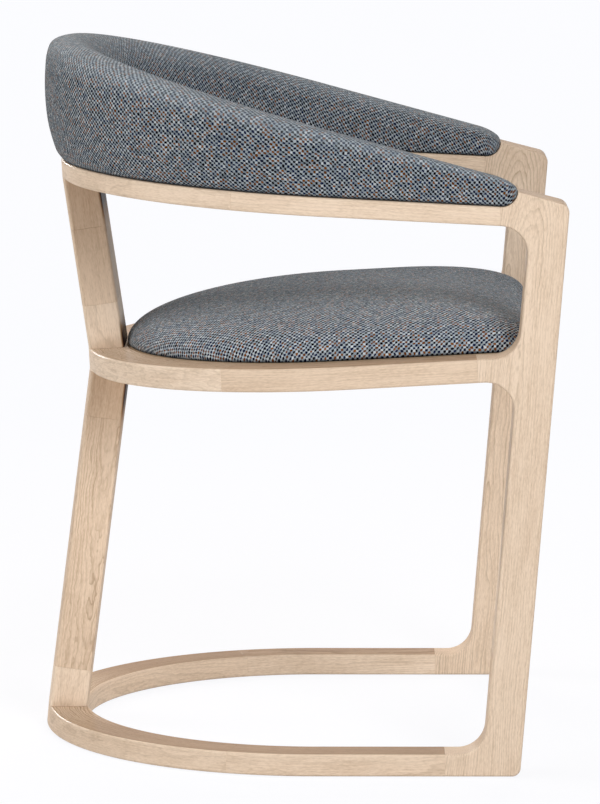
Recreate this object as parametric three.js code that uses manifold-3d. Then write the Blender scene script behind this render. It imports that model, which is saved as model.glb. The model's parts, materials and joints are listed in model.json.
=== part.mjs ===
// Tub chair: three U shaped oak frames, two front legs, one rear post, a padded back and a seat.
// X runs across the chair, Y to its rear and Z up. It faces -Y and stands on the floor at Z = 0.

import * as THREE from 'three';
import { mergeVertices } from 'three/addons/utils/BufferGeometryUtils.js';
import Module from 'manifold-3d';

const wasm = await Module();
wasm.setup();

// Overall and shared sizes, in millimetres and degrees

const chairWidth = 560;
const railWidth = 42;
const edgeRadius = 2.5;
const seatGap = 0.3;
const cutOverrun = 8;

// Facet counts

const ringSteps = 26;
const cornerSteps = 2;
const tenonSteps = 1;
const edgeSteps = 2;
const boreSteps = 8;

// Floor glides: plastic discs with a stem, let into the floor frame

const glide = { radius: 9, height: 3.5, proud: 1, stemRadius: 2.5, stemHeight: 5 };
const glideToFoot = 24;
const glideSideShare = 0.2;

// The three frames. rise is the underside's height above the floor, straight above the middle of
// the base frame, and all places from front to rear are measured from that middle. The rear bend
// starts at bend and reaches back by reach. Its glue line to the side rail lies at seam, and the
// side rail's glue line to the front leg at front.

const base = { rise: glide.proud, height: 22.1, tilt: 0, bend: 0, reach: 280, seam: 88, front: -129 };
const seat = { rise: 385.8, height: 23, tilt: -3.09, bend: -32, reach: 267.5, seam: 92, front: -160.5 };
const arm = { rise: 558.2, height: 19, tilt: 2.92, bend: -12, reach: 274.5, seam: 83, front: -180.5 };

// Front legs, drawn in side view. The front corner of a head lies headRise above the arm frame's rise.

const legDepth = 37.3;
const legFoot = -203.2;
const legLean = 4.6;
const footRadius = 8.5;
const hollowRadius = 27.5;
const headRise = 11.7;
const headSlope = 14.3;
const headRadius = 11;
const nestFront = -196.5;
const nestRadius = 15.5;

// Rear post: a lower and an upper row of blocks, glued end to end

const postWidth = 86;
const postEdgeRadius = 3;
const postLowerDepth = 40.5;
const postUpperDepth = 38.5;
const postBowShares = [0.5, 0, -0.5];
const baseBlockLength = 43;
const seatBlockLowerLength = 46;
const seatBlockUpperLength = 44;
const armBlockLength = 54;

// The frames are drawn in by flushInset behind, to lie flush with the post's bowed outer face.
// Each has [share at its underside, share at its top], and flushReach from the middle is where
// it fades out.

const flushShares = new Map([[base, [0, 1]], [seat, [1, 1]], [arm, [1, 0]]]);
const flushInset = 2;
const flushReach = 150;

// Seat: the rebate in its frame, the front rail and the domed cushion

const ledgeWidth = 12;
const ledgeHeight = 11;
const frontRailDepth = 32;
const frontRailSetback = 6;
const seatFront = -226;
const seatCrown = 51.5;
const seatCrownInset = 190;
const seatSpread = 215;
const seatFullness = 2.25;
const seatFootHeight = 3;
const seatFootInset = 2;
const seatCornerRadius = 30;
const seatCornerLimitShare = 0.8;
const seatLevels = 8;
const seatCornerSteps = 4;
const fabric = 1.5;
const liningThickness = 1;
const liningMargin = 8;

// Back and arm pad, and the plywood core that stands in it

const padFrontHeight = 27.4;
const padRearHeight = 124;
const padBulge = 20.4;
const padEndDraw = 5;
const padEndAngle = 75;
const padArcSteps = 18;
const padSideSteps = 3;
const padEndSteps = 3;
const coreThickness = 12;
const coreFront = -140;
const coreCover = 24;

// Section of the pad from its outer to its inner foot: share of the rail's width inwards, share of
// the bulge outwards and share of the height

const padSectionShares = [
  [0.02, 0, 0],
  [0, 0.45, 0.14],
  [0, 0.86, 0.4],
  [0, 1, 0.68],
  [0, 0.96, 0.87],
  [0.02, 0.76, 0.955],
  [0.16, 0.33, 1],
  [0.46, 0, 0.965],
  [0.76, 0, 0.84],
  [0.95, -0.1, 0.62],
  [1.01, -0.15, 0.34],
  [0.98, 0, 0],
];

// Loose tenons: width, thickness and length, and how deep one goes into a frame from its face

const railTenon = { width: 24, thickness: 8, length: 36 };
const frontTenon = { width: 18, thickness: 8, length: 30 };
const postTenon = { width: 46, thickness: 12, length: 34 };
const tenonRoundShare = 0.9;
const frameBite = 9;

// Screws, and their places as shares of the half turn round a frame's bend

const screw = { headRadius: 4, headHeight: 2.6, radius: 2, bite: 9 };
const seatScrewShares = [0.08, 0.36, 0.64, 0.92];
const backScrewShares = [0, 0.3, 0.7, 1];

// Finishes

const oak = { color: 0xe2c9a8, roughness: 0.5, metalness: 0 };
const plywood = { color: 0xcbb08a, roughness: 0.7, metalness: 0 };
const cloth = { color: 0x5d6b7b, roughness: 0.95, metalness: 0 };
const foam = { color: 0xe8e2c8, roughness: 1, metalness: 0 };
const lining = { color: 0x232323, roughness: 0.95, metalness: 0 };
const steel = { color: 0xb4b4ae, roughness: 0.35, metalness: 1 };
const plastic = { color: 0x2b2b2b, roughness: 0.6, metalness: 0 };

// Values that follow from the sizes above

const halfWidth = chairWidth / 2;
const innerHalf = halfWidth - railWidth;
const big = chairWidth * 2;
const radians = THREE.MathUtils.degToRad;
const xAxis = new THREE.Vector3(1, 0, 0);
const yAxis = new THREE.Vector3(0, 1, 0);
const zAxis = new THREE.Vector3(0, 0, 1);

// Solids and meshes

function solid(geometry) {
  const plain = geometry.clone();
  plain.deleteAttribute('normal');
  plain.deleteAttribute('uv');
  const merged = mergeVertices(plain);
  return new wasm.Manifold(new wasm.Mesh({
    numProp: 3,
    vertProperties: merged.attributes.position.array,
    triVerts: Uint32Array.from(merged.index.array),
  }));
}

function named(name, body, finish) {
  const { vertProperties, triVerts, numProp } = body.getMesh();
  const geometry = new THREE.BufferGeometry();
  geometry.setAttribute('position', new THREE.BufferAttribute(vertProperties, numProp));
  geometry.setIndex(new THREE.BufferAttribute(triVerts, 1));
  geometry.computeVertexNormals();
  const mesh = new THREE.Mesh(geometry, new THREE.MeshStandardMaterial(finish));
  mesh.name = name;
  return mesh;
}

function cut(body, cutters) {
  return cutters.reduce((rest, cutter) => rest.subtract(cutter), body);
}

function slab(low, high) {
  const size = new THREE.Vector3(...high).sub(new THREE.Vector3(...low));
  const centre = new THREE.Vector3(...low).addScaledVector(size, 1 / 2);
  return new THREE.BoxGeometry(...size).translate(...centre);
}

function prism(shape, height, radius = 0, steps = cornerSteps) {
  return new THREE.ExtrudeGeometry(shape, {
    depth: height - 2 * radius,
    bevelEnabled: radius > 0,
    bevelThickness: radius,
    bevelSize: radius,
    bevelOffset: -radius,
    bevelSegments: edgeSteps,
    curveSegments: steps,
  }).translate(0, 0, radius);
}

// A shape drawn in side view, Y to the right and Z up, pushed out along X from the given place
function sideways(shape, from, width, radius = 0) {
  const toSide = new THREE.Matrix4().makeBasis(yAxis, zAxis, xAxis).setPosition(from, 0, 0);
  return prism(shape, width, radius).applyMatrix4(toSide);
}

function turned(profile) {
  const points = profile.map(([radius, height]) => new THREE.Vector2(radius, height));
  return new THREE.LatheGeometry(points, boreSteps).rotateX(Math.PI / 2);
}

// A closed outline of corners [x, y, radius]. Its second corner is sharp if its first is.
function rounded(corners) {
  const shape = new THREE.Shape();
  const at = (i) => new THREE.Vector2(...corners.at(i % corners.length));
  corners.forEach(([x, y, radius], i) => {
    if (!radius) {
      if (i === 0) shape.moveTo(x, y);
      else shape.lineTo(x, y);
      return;
    }
    const here = new THREE.Vector2(x, y);
    const back = at(i - 1).sub(here).normalize();
    const ahead = at(i + 1).sub(here).normalize();
    const half = Math.acos(back.dot(ahead)) / 2;
    const centre = back.clone().add(ahead).setLength(radius / Math.sin(half)).add(here);
    const start = back.multiplyScalar(radius / Math.tan(half)).add(here).sub(centre);
    const end = ahead.multiplyScalar(radius / Math.tan(half)).add(here).sub(centre);
    const clockwise = start.cross(end) < 0;
    shape.absarc(centre.x, centre.y, radius, start.angle(), end.angle(), clockwise);
  });
  return shape;
}

function bar(width, depth, radius) {
  const x = width / 2;
  const y = depth / 2;
  return rounded([[-x, -y, radius], [x, -y, radius], [x, y, radius], [-x, y, radius]]);
}

// Skin over a row of closed sections with as many points each, capped at both ends
function loft(sections) {
  const count = sections[0].length;
  const middle = (section) => section
    .reduce((sum, point) => sum.add(point), new THREE.Vector3())
    .divideScalar(count);
  const points = [...sections.flat(), middle(sections[0]), middle(sections.at(-1))];
  const last = (sections.length - 1) * count;
  const faces = [];
  for (let i = 0; i < count; i += 1) {
    const next = (i + 1) % count;
    for (let row = 0; row < last; row += count) {
      faces.push(row + i, row + next, row + count + next);
      faces.push(row + i, row + count + next, row + count + i);
    }
    faces.push(next, i, last + count, last + i, last + next, last + count + 1);
  }
  const geometry = new THREE.BufferGeometry().setFromPoints(points);
  geometry.setIndex(faces);
  return geometry;
}

// Frames. A frame's own coordinates are X across, Y back and Z up from its tilted underside.

function frameGroup(frame) {
  const group = new THREE.Group();
  group.position.z = frame.rise;
  group.rotation.x = radians(frame.tilt);
  group.updateMatrix();
  return group;
}

const groups = new Map([base, seat, arm].map((frame) => [frame, frameGroup(frame)]));

function inSideView(frame, y, z) {
  const spot = new THREE.Vector3(0, y, z).applyMatrix4(groups.get(frame).matrix);
  return [spot.y, spot.z];
}

// Point a distance in from a frame's outer edge at a share of the half turn round its bend, with
// the direction outwards there
function bendPoint(frame, share, inset) {
  const angle = share * Math.PI;
  const out = new THREE.Vector3(-frame.reach * Math.cos(angle), halfWidth * Math.sin(angle), 0);
  out.normalize();
  const spot = new THREE.Vector3(-halfWidth * Math.cos(angle), frame.reach * Math.sin(angle), 0);
  spot.y += frame.bend;
  return { spot: spot.addScaledVector(out, -inset), out };
}

function bendCurve(frame, inset, steps) {
  return Array.from({ length: steps + 1 }, (_, i) => bendPoint(frame, i / steps, inset).spot);
}

// U shaped plan between two insets from the outer edge, open to the front
function framePlan(frame, outerInset, innerInset, front) {
  return new THREE.Shape([
    new THREE.Vector3(-halfWidth + outerInset, front, 0),
    ...bendCurve(frame, outerInset, ringSteps),
    new THREE.Vector3(halfWidth - outerInset, front, 0),
    new THREE.Vector3(halfWidth - innerInset, front, 0),
    ...bendCurve(frame, innerInset, ringSteps).reverse(),
    new THREE.Vector3(-halfWidth + innerInset, front, 0),
  ].map((point) => new THREE.Vector2(point.x, point.y)));
}

function seamShare(frame) {
  return Math.asin((frame.seam - frame.bend) / frame.reach) / Math.PI;
}

// All that lies behind a frame's two glue lines, which are moved forwards by a gap
function behindSeams(frame, gap) {
  const { spot, out } = bendPoint(frame, seamShare(frame), 0);
  const ahead = new THREE.Vector3(out.y, -out.x, 0).multiplyScalar(-gap);
  const outside = spot.clone().addScaledVector(out, cutOverrun).add(ahead);
  const inside = spot.clone().addScaledVector(out, -2 * railWidth).add(ahead);
  return solid(prism(new THREE.Shape([
    new THREE.Vector2(outside.x, outside.y),
    new THREE.Vector2(inside.x, inside.y),
    new THREE.Vector2(-inside.x, inside.y),
    new THREE.Vector2(-outside.x, outside.y),
    new THREE.Vector2(halfWidth, big),
    new THREE.Vector2(-halfWidth, big),
  ]), big).translate(0, 0, -big / 2));
}

function underFrame(frame, z) {
  return slab([-big, -big, -big], [big, big, z]).applyMatrix4(groups.get(frame).matrix);
}

function overFrame(frame, z) {
  return slab([-big, -big, z], [big, big, big]).applyMatrix4(groups.get(frame).matrix);
}

// Loose tenons, and the mortises that are cut a gap larger all round

function tenon(size, place, gap = 0) {
  const thickness = size.thickness + 2 * gap;
  const length = size.length + 2 * gap;
  const section = bar(size.width + 2 * gap, thickness, (tenonRoundShare * thickness) / 2);
  const plain = prism(section, length, 0, tenonSteps);
  return solid(plain.translate(0, 0, -length / 2).applyMatrix4(place));
}

function placed(spot, across, thick, along) {
  return new THREE.Matrix4().makeBasis(across, thick, along).setPosition(spot);
}

function mirrored(place) {
  const flip = new THREE.Matrix4().makeScale(-1, 1, 1);
  return flip.clone().multiply(place).multiply(flip);
}

// A pair of tenon places, right and left, from the right one
function pair(place) {
  return [['right', place], ['left', mirrored(place)]];
}

function bendTenons(frame) {
  const { spot, out } = bendPoint(frame, seamShare(frame), railWidth / 2);
  spot.z = frame.height / 2;
  return pair(placed(spot, out, zAxis, new THREE.Vector3().crossVectors(out, zAxis)));
}

function legTenons(frame) {
  const spot = new THREE.Vector3(railWidth / 2 - halfWidth, frame.front, frame.height / 2);
  return pair(placed(spot, xAxis, zAxis, yAxis.clone().negate()));
}

function tenonMeshes(name, size, places) {
  return places.map(([label, place]) => {
    const mesh = named(`${name}_${label}`, tenon(size, new THREE.Matrix4()), oak);
    mesh.applyMatrix4(place);
    return mesh;
  });
}

// Screws and the holes that they pass through, head down

function screwBody(length, gap = 0) {
  const { headRadius, headHeight, radius } = screw;
  return turned([
    [0, -gap],
    [headRadius + gap, -gap],
    [headRadius + gap, headHeight + gap],
    [radius + gap, headHeight + gap],
    [radius + gap, length + gap],
    [0, length + gap],
  ]);
}

function screwHoles(spots, length) {
  return spots.map((spot) => solid(screwBody(length, seatGap).translate(...spot)));
}

function screwMeshes(name, spots, length) {
  return spots.map((spot, i) => {
    const mesh = named(`${name}_${i + 1}`, solid(screwBody(length)), steel);
    mesh.position.copy(spot);
    return mesh;
  });
}

// Glides and the recesses that they sit in

function glideBody(gap = 0) {
  const { radius, height, stemRadius, stemHeight } = glide;
  return turned([
    [0, 0],
    [radius + gap, 0],
    [radius + gap, height + gap],
    [stemRadius + gap, height + gap],
    [stemRadius + gap, height + stemHeight + gap],
    [0, height + stemHeight + gap],
  ]);
}

const glideSpots = {
  glide_front_left: new THREE.Vector3(halfWidth - railWidth / 2, legFoot + glideToFoot, 0),
  glide_front_right: new THREE.Vector3(railWidth / 2 - halfWidth, legFoot + glideToFoot, 0),
  glide_side_left: bendPoint(base, 1 - glideSideShare, railWidth / 2).spot,
  glide_side_right: bendPoint(base, glideSideShare, railWidth / 2).spot,
  glide_rear: bendPoint(base, 1 / 2, railWidth / 2).spot,
};

const glideHoles = Object.values(glideSpots)
  .map((spot) => solid(glideBody(seatGap).translate(...spot)));

// Rear post. A row's own coordinates have the outer face's middle at Y = 0 and Z along the row.

function postOuter(frame) {
  return frame.bend + frame.reach - flushInset;
}

// How far the middle of a frame's bend lies behind its points straight over the post's sides
function postBow(frame) {
  return frame.reach * (1 - Math.sqrt(1 - (postWidth / chairWidth) ** 2));
}

function postRow(low, lowZ, high, highZ, depth) {
  const [footY, footZ] = inSideView(low, postOuter(low), lowZ);
  const [topY, topZ] = inSideView(high, postOuter(high), highZ);
  const group = new THREE.Group();
  group.position.set(0, footY, footZ);
  group.rotation.x = -Math.atan2(topY - footY, topZ - footZ);
  group.updateMatrix();
  const length = Math.hypot(topY - footY, topZ - footZ);
  return { group, depth, length, bow: postBow(low), inverse: group.matrix.clone().invert() };
}

const lowerRow = postRow(base, base.height, seat, 0, postLowerDepth);
const upperRow = postRow(seat, seat.height, arm, 0, postUpperDepth);

function postBoard(row, from, to) {
  const half = postWidth / 2;
  const section = rounded([
    [-half, -row.depth, postEdgeRadius],
    [half, -row.depth, postEdgeRadius],
    [half, -row.bow, postEdgeRadius],
    ...postBowShares.map((share) => [half * share, -row.bow * share ** 2, 0]),
    [-half, -row.bow, postEdgeRadius],
  ]);
  return solid(prism(section, to - from).translate(0, 0, from));
}

function postTenonPlace(row, z) {
  return new THREE.Matrix4().makeTranslation(0, -row.depth / 2, z);
}

// Tenons between two blocks and between a block and a frame: row, place along it, frame and label
const blockSeams = [
  [lowerRow, baseBlockLength, null, 'base_block'],
  [lowerRow, lowerRow.length - seatBlockLowerLength, null, 'seat_block_lower'],
  [upperRow, seatBlockUpperLength, null, 'seat_block_upper'],
  [upperRow, upperRow.length - armBlockLength, null, 'arm_block'],
];
const fromEnd = postTenon.length / 2 - frameBite;
const frameSeams = [
  [lowerRow, fromEnd, base, 'base_frame'],
  [lowerRow, lowerRow.length - fromEnd, seat, 'seat_frame_lower'],
  [upperRow, fromEnd, seat, 'seat_frame_upper'],
  [upperRow, upperRow.length - fromEnd, arm, 'arm_frame'],
];

function rowMortises(row) {
  return [...blockSeams, ...frameSeams]
    .filter(([owner]) => owner === row)
    .map(([, z]) => tenon(postTenon, postTenonPlace(row, z), seatGap));
}

function frameMortises(frame) {
  const toFrame = groups.get(frame).matrix.clone().invert();
  return frameSeams
    .filter(([, , owner]) => owner === frame)
    .map(([row, z]) => toFrame.clone().multiply(row.group.matrix).multiply(postTenonPlace(row, z)))
    .map((place) => tenon(postTenon, place, seatGap));
}

function buildPost() {
  const gap = seatGap;
  const pieces = [
    [lowerRow, 'base_post_block', -cutOverrun, baseBlockLength],
    [lowerRow, 'rear_post_lower', baseBlockLength + gap, lowerRow.length - seatBlockLowerLength],
    [lowerRow, 'seat_post_block_lower', lowerRow.length - seatBlockLowerLength + gap,
      lowerRow.length + cutOverrun],
    [upperRow, 'seat_post_block_upper', -cutOverrun, seatBlockUpperLength],
    [upperRow, 'rear_post_upper', seatBlockUpperLength + gap, upperRow.length - armBlockLength],
    [upperRow, 'arm_post_block', upperRow.length - armBlockLength + gap,
      upperRow.length + cutOverrun],
  ];
  const ends = new Map([
    [lowerRow, [underFrame(base, base.height + gap), overFrame(seat, -gap)]],
    [upperRow, [underFrame(seat, seat.height + gap), overFrame(arm, -gap)]],
  ]);
  pieces.forEach(([row, name, from, to]) => {
    const limits = ends.get(row).map((limit) => solid(limit.clone().applyMatrix4(row.inverse)));
    const body = cut(postBoard(row, from, to), [...limits, ...rowMortises(row)]);
    row.group.add(named(name, body, oak));
  });
  [...blockSeams, ...frameSeams].forEach(([row, z, , label]) => {
    row.group.add(...tenonMeshes('post_tenon', postTenon, [[label, postTenonPlace(row, z)]]));
  });
  return [lowerRow.group, upperRow.group];
}

// Side rails and rear bends

function buildFrame(frame, name, body, drillings) {
  const bends = bendTenons(frame);
  const legs = legTenons(frame);
  const mortises = [...bends, ...legs].map(([, place]) => tenon(railTenon, place, seatGap));
  const whole = cut(body, [...mortises, ...frameMortises(frame), ...drillings]);
  const front = frame.front + seatGap;
  const sides = whole.subtract(behindSeams(frame, seatGap));
  const rightHalf = solid(slab([-big, front, -big], [0, big, big]));
  const leftHalf = solid(slab([0, front, -big], [big, big, big]));
  groups.get(frame).add(
    named(`${name}_ring_back`, whole.intersect(behindSeams(frame, 0)), oak),
    named(`${name}_rail_left`, sides.intersect(leftHalf), oak),
    named(`${name}_rail_right`, sides.intersect(rightHalf), oak),
    ...tenonMeshes(`${name}_bend_tenon`, railTenon, bends),
    ...tenonMeshes(`${name}_leg_tenon`, railTenon, legs),
  );
}

// Draws a frame's outer edge in to the post's outer face, and leaves its rounding off there
function flushWithPost(frame, body) {
  const [below, above] = flushShares.get(frame);
  return body.warp((point) => {
    const x = point[0] / halfWidth;
    const y = (point[1] - frame.bend) / frame.reach;
    const edge = Math.hypot(x, y);
    if (y < 0 || edge < 1 - 2 * edgeRadius / frame.reach) return;
    const aside = Math.abs(point[0]);
    const level = point[2] / frame.height;
    const sharp = aside < postWidth / 2 && (level > 0.5 ? above : below) === 1;
    const out = new THREE.Vector2(x / halfWidth, y / frame.reach).normalize();
    const fade = 1 - THREE.MathUtils.smoothstep(aside, postWidth / 2, flushReach);
    const inset = flushInset * THREE.MathUtils.lerp(below, above, level) * fade;
    const spread = sharp ? edge : 1;
    point[0] = x * halfWidth / spread - out.x * inset;
    point[1] = frame.bend + y * frame.reach / spread - out.y * inset;
  });
}

function plainFrame(frame) {
  const plan = framePlan(frame, 0, railWidth, frame.front - cutOverrun);
  return flushWithPost(frame, solid(prism(plan, frame.height, edgeRadius)));
}

function rebatedFrame() {
  const innerInset = railWidth + ledgeWidth;
  const front = seat.front - cutOverrun;
  const whole = prism(framePlan(seat, 0, innerInset, front), seat.height, edgeRadius);
  const rebatePlan = framePlan(seat, railWidth, innerInset + cutOverrun, front - cutOverrun);
  const rebate = prism(rebatePlan, seat.height).translate(0, 0, ledgeHeight);
  return flushWithPost(seat, solid(whole)).subtract(solid(rebate));
}

// Front legs: one board each, with a stub for every frame

function crossing([y1, z1], angle1, [y2, z2], angle2) {
  const a = radians(angle1);
  const b = radians(angle2);
  const far = ((y2 - y1) * Math.sin(b) - (z2 - z1) * Math.cos(b)) / Math.sin(b - a);
  return [y1 + far * Math.cos(a), z1 + far * Math.sin(a)];
}

const upright = 90 + legLean;
const footFront = [legFoot, 0];
const footRear = [legFoot + legDepth / Math.cos(radians(legLean)), 0];

function legOutline() {
  const square = (frame) => frame.tilt + 90;
  const end = (frame, z) => inSideView(frame, frame.front + cutOverrun, z);
  const hollow = (frame, z) => [
    ...crossing(end(frame, z), frame.tilt, footRear, upright), hollowRadius,
  ];
  const headFront = crossing(footFront, upright, [0, arm.rise + headRise], 0);
  const stubEnd = end(arm, 0);
  const headBack = crossing(headFront, headSlope, stubEnd, square(arm));
  const [floorY] = crossing(footFront, upright, [0, base.rise], 0);
  return rounded([
    end(base, base.height),
    end(base, 0),
    [floorY, base.rise, footRadius],
    [...headFront, headRadius],
    headBack,
    stubEnd,
    hollow(arm, 0),
    hollow(seat, seat.height),
    end(seat, seat.height),
    end(seat, 0),
    hollow(seat, 0),
    hollow(base, base.height),
  ]);
}

// Round seat behind each leg's head, where the pad's front end nests
function nest() {
  const outline = rounded([
    [nestFront, arm.height, nestRadius],
    [arm.front + 2 * cutOverrun, arm.height],
    [arm.front + 2 * cutOverrun, arm.height + padRearHeight],
    [nestFront, arm.height + padRearHeight],
  ]);
  return solid(sideways(outline, -big / 2, big).applyMatrix4(groups.get(arm).matrix));
}

// What lies behind a frame's glue line to the legs, as far as the legs' stubs were drawn past it
function pastStub(frame) {
  const low = [-big, frame.front, -cutOverrun];
  const high = [big, frame.front + 2 * cutOverrun, frame.height + cutOverrun];
  return solid(slab(low, high).applyMatrix4(groups.get(frame).matrix));
}

function frontRailMiddle() {
  const level = inSideView(seat, 0, seat.height / 2);
  const [y] = crossing(footFront, upright, level, seat.tilt);
  return y + frontRailSetback + frontRailDepth / 2;
}

function frontTenons() {
  const spot = new THREE.Vector3(-innerHalf, frontRailMiddle(), seat.height / 2);
  return pair(placed(spot, yAxis, zAxis, xAxis));
}

function buildLegs() {
  const toChair = (frame, place) => groups.get(frame).matrix.clone().multiply(place);
  const stubMortises = [base, seat, arm].flatMap((frame) => (
    legTenons(frame).map(([, place]) => tenon(railTenon, toChair(frame, place), seatGap))
  ));
  const cutters = [
    nest(),
    ...[base, seat, arm].map(pastStub),
    ...stubMortises,
    ...frontTenons().map(([, place]) => tenon(frontTenon, toChair(seat, place), seatGap)),
    ...glideHoles,
  ];
  return [['front_leg_left', innerHalf], ['front_leg_right', -halfWidth]].map(([name, from]) => (
    named(name, cut(solid(sideways(legOutline(), from, railWidth, edgeRadius)), cutters), oak)
  ));
}

// Seat

function frontRail() {
  const front = frontRailMiddle() - frontRailDepth / 2;
  const back = front + frontRailDepth;
  const outline = rounded([
    [front, 0, edgeRadius],
    [back + ledgeWidth, 0, edgeRadius],
    [back + ledgeWidth, ledgeHeight],
    [back, ledgeHeight],
    [back, seat.height],
    [front, seat.height, edgeRadius],
  ]);
  const half = innerHalf - seatGap;
  const mortises = frontTenons().map(([, place]) => tenon(frontTenon, place, seatGap));
  return cut(solid(sideways(outline, -half, 2 * half)), mortises);
}

// Plan of the seat at an inset from the frame's inner edge, at a height above its underside
function seatPlan(inset, front, height) {
  const side = innerHalf - inset;
  const radius = Math.min(seatCornerRadius, seatCornerLimitShare * (seat.bend - front));
  const corner = Array.from({ length: seatCornerSteps + 1 }, (_, i) => {
    const angle = (i / seatCornerSteps) * (Math.PI / 2);
    const x = side - radius * (1 - Math.cos(angle));
    return new THREE.Vector3(x, front + radius * (1 - Math.sin(angle)), 0);
  });
  const otherCorner = corner.map((point) => point.clone().setX(-point.x)).reverse();
  const bend = bendCurve(seat, railWidth + inset, ringSteps);
  return [...bend, ...corner, ...otherCorner].reverse().map((point) => point.setZ(height));
}

function seatPlate(inset, front, low, high) {
  const plan = seatPlan(inset, front, 0).map((point) => new THREE.Vector2(point.x, point.y));
  return solid(prism(new THREE.Shape(plan), high - low).translate(0, 0, low));
}

// Domed skin of the seat, a thickness inside its outer face, from a foot height up
function seatDome(thickness, foot) {
  const rise = seatCrown - seatFootHeight - thickness;
  const power = 2 / seatFullness;
  const lastAngle = Math.acos((1 - seatCrownInset / seatSpread) ** (1 / power));
  const level = (inset, height) => (
    seatPlan(2 * seatGap + inset + thickness, seatFront + inset + thickness, height)
  );
  const sections = [level(seatFootInset, foot)];
  for (let i = 0; i < seatLevels; i += 1) {
    const angle = (i / (seatLevels - 1)) * lastAngle;
    const inset = seatSpread * (1 - Math.cos(angle) ** power);
    const height = seatFootHeight + rise * Math.sin(angle) ** power;
    sections.push(level(inset, seat.height + height));
  }
  return solid(loft(sections));
}

function buildSeat() {
  const group = groups.get(seat);
  const floor = ledgeHeight + seatGap;
  const panelFront = frontRailMiddle() + frontRailDepth / 2 + seatGap;
  const screwSpots = seatScrewShares.map((share) => (
    bendPoint(seat, share, railWidth + ledgeWidth / 2).spot
  ));
  const screwLength = ledgeHeight + screw.bite;
  const holes = screwHoles(screwSpots, screwLength);
  buildFrame(seat, 'seat', rebatedFrame(), holes);
  const foot = seat.height + seatGap;
  const cover = seatDome(0, foot).subtract(seatDome(fabric, -cutOverrun));
  const underPanel = floor - liningThickness - seatGap;
  const liningInset = ledgeWidth + liningMargin;
  group.add(
    named('seat_front_rail', frontRail(), oak),
    ...tenonMeshes('front_rail_tenon', frontTenon, frontTenons()),
    named('seat_panel', cut(seatPlate(seatGap, panelFront, floor, seat.height), holes), plywood),
    named('seat_foam', seatDome(fabric + seatGap, foot), foam),
    named('seat_cover', cover, cloth),
    named('seat_bottom_lining', seatPlate(liningInset, panelFront + liningInset, underPanel,
      underPanel + liningThickness), lining),
    ...screwMeshes('seat_screw', screwSpots, screwLength),
  );
}

// Back and arm pad, in the arm frame's coordinates

const padEndMiddle = nestFront + nestRadius;
const padEndRadius = nestRadius - seatGap;

function padHeight(y) {
  const share = (y - padEndMiddle) / (arm.bend + arm.reach - padEndMiddle);
  return padFrontHeight + (padRearHeight - padFrontHeight) * share;
}

// Stations from the right arm's front end round the back to the left arm's front end, for a skin
// a thickness inside the outer one
function padStations(thickness) {
  const side = (sign) => {
    const out = xAxis.clone().multiplyScalar(sign);
    const spot = (y) => new THREE.Vector3(sign * halfWidth, y, 0);
    const ends = Array.from({ length: padEndSteps }, (_, i) => {
      const turn = radians((padEndAngle * (padEndSteps - i)) / padEndSteps);
      const ahead = (padEndRadius - thickness) * Math.sin(turn);
      return { spot: spot(padEndMiddle - ahead), out, turn };
    });
    const straights = Array.from({ length: padSideSteps }, (_, i) => {
      const share = i / padSideSteps;
      return { spot: spot(padEndMiddle + (arm.bend - padEndMiddle) * share), out, turn: 0 };
    });
    return [...ends, ...straights];
  };
  const bend = Array.from({ length: padArcSteps + 1 }, (_, i) => (
    { ...bendPoint(arm, i / padArcSteps, 0), turn: 0 }
  ));
  return [...side(-1), ...bend, ...side(1).reverse()];
}

// The pad's skin, a thickness inside its outer face, standing on a foot height
function padSkin(thickness, foot) {
  const sections = padStations(thickness).map(({ spot, out, turn }) => {
    const full = padHeight(Math.max(spot.y, padEndMiddle));
    const drawn = 1 - Math.cos(turn);
    const low = padEndRadius * drawn;
    const height = full - low - (full - padEndRadius) * drawn;
    const bulge = padBulge * (height / padRearHeight);
    const width = railWidth - 2 * padEndDraw * drawn;
    const loop = padSectionShares.map(([inwards, outwards, up]) => new THREE.Vector2(
      outwards * bulge - padEndDraw * drawn - inwards * width,
      low + up * height,
    ));
    return loop.map((point, i) => {
      const before = loop.at(i - 1);
      const after = loop[(i + 1) % loop.length];
      const inwards = after.clone().sub(before).normalize();
      const moved = point.clone().add(new THREE.Vector2(-inwards.y, inwards.x)
        .multiplyScalar(thickness));
      const isFoot = padSectionShares[i][2] === 0;
      const z = isFoot ? foot + low : arm.height + seatGap + moved.y;
      return spot.clone().addScaledVector(out, moved.x).setZ(z);
    });
  });
  return solid(loft(sections));
}

function padCore(gap) {
  const inset = (railWidth - coreThickness) / 2;
  const plan = framePlan(arm, inset - gap, railWidth - inset + gap, coreFront - cutOverrun);
  const strip = solid(prism(plan, padRearHeight).translate(0, 0, arm.height));
  const foot = arm.height + seatGap;
  const rear = arm.bend + arm.reach;
  const top = (y) => foot + padHeight(y) - coreCover + gap;
  const side = new THREE.Shape([
    new THREE.Vector2(coreFront - gap, foot - cutOverrun * Math.sign(gap)),
    new THREE.Vector2(rear, foot - cutOverrun * Math.sign(gap)),
    new THREE.Vector2(rear, top(rear)),
    new THREE.Vector2(coreFront - gap, top(coreFront)),
  ]);
  return strip.intersect(solid(sideways(side, -halfWidth, chairWidth)));
}

function buildBack() {
  const foot = arm.height + seatGap;
  const spots = backScrewShares.map((share) => bendPoint(arm, share, railWidth / 2).spot);
  const screwLength = arm.height + screw.bite;
  const holes = screwHoles(spots, screwLength);
  buildFrame(arm, 'arm', plainFrame(arm), holes);
  groups.get(arm).add(
    named('back_core', cut(padCore(0), holes), plywood),
    named('back_foam', padSkin(fabric + seatGap, foot).subtract(padCore(seatGap)), foam),
    named('back_cover', padSkin(0, foot).subtract(padSkin(fabric, -cutOverrun)), cloth),
    ...screwMeshes('back_screw', spots, screwLength),
  );
}

// The whole chair, set with its bottom centre at the origin

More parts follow.
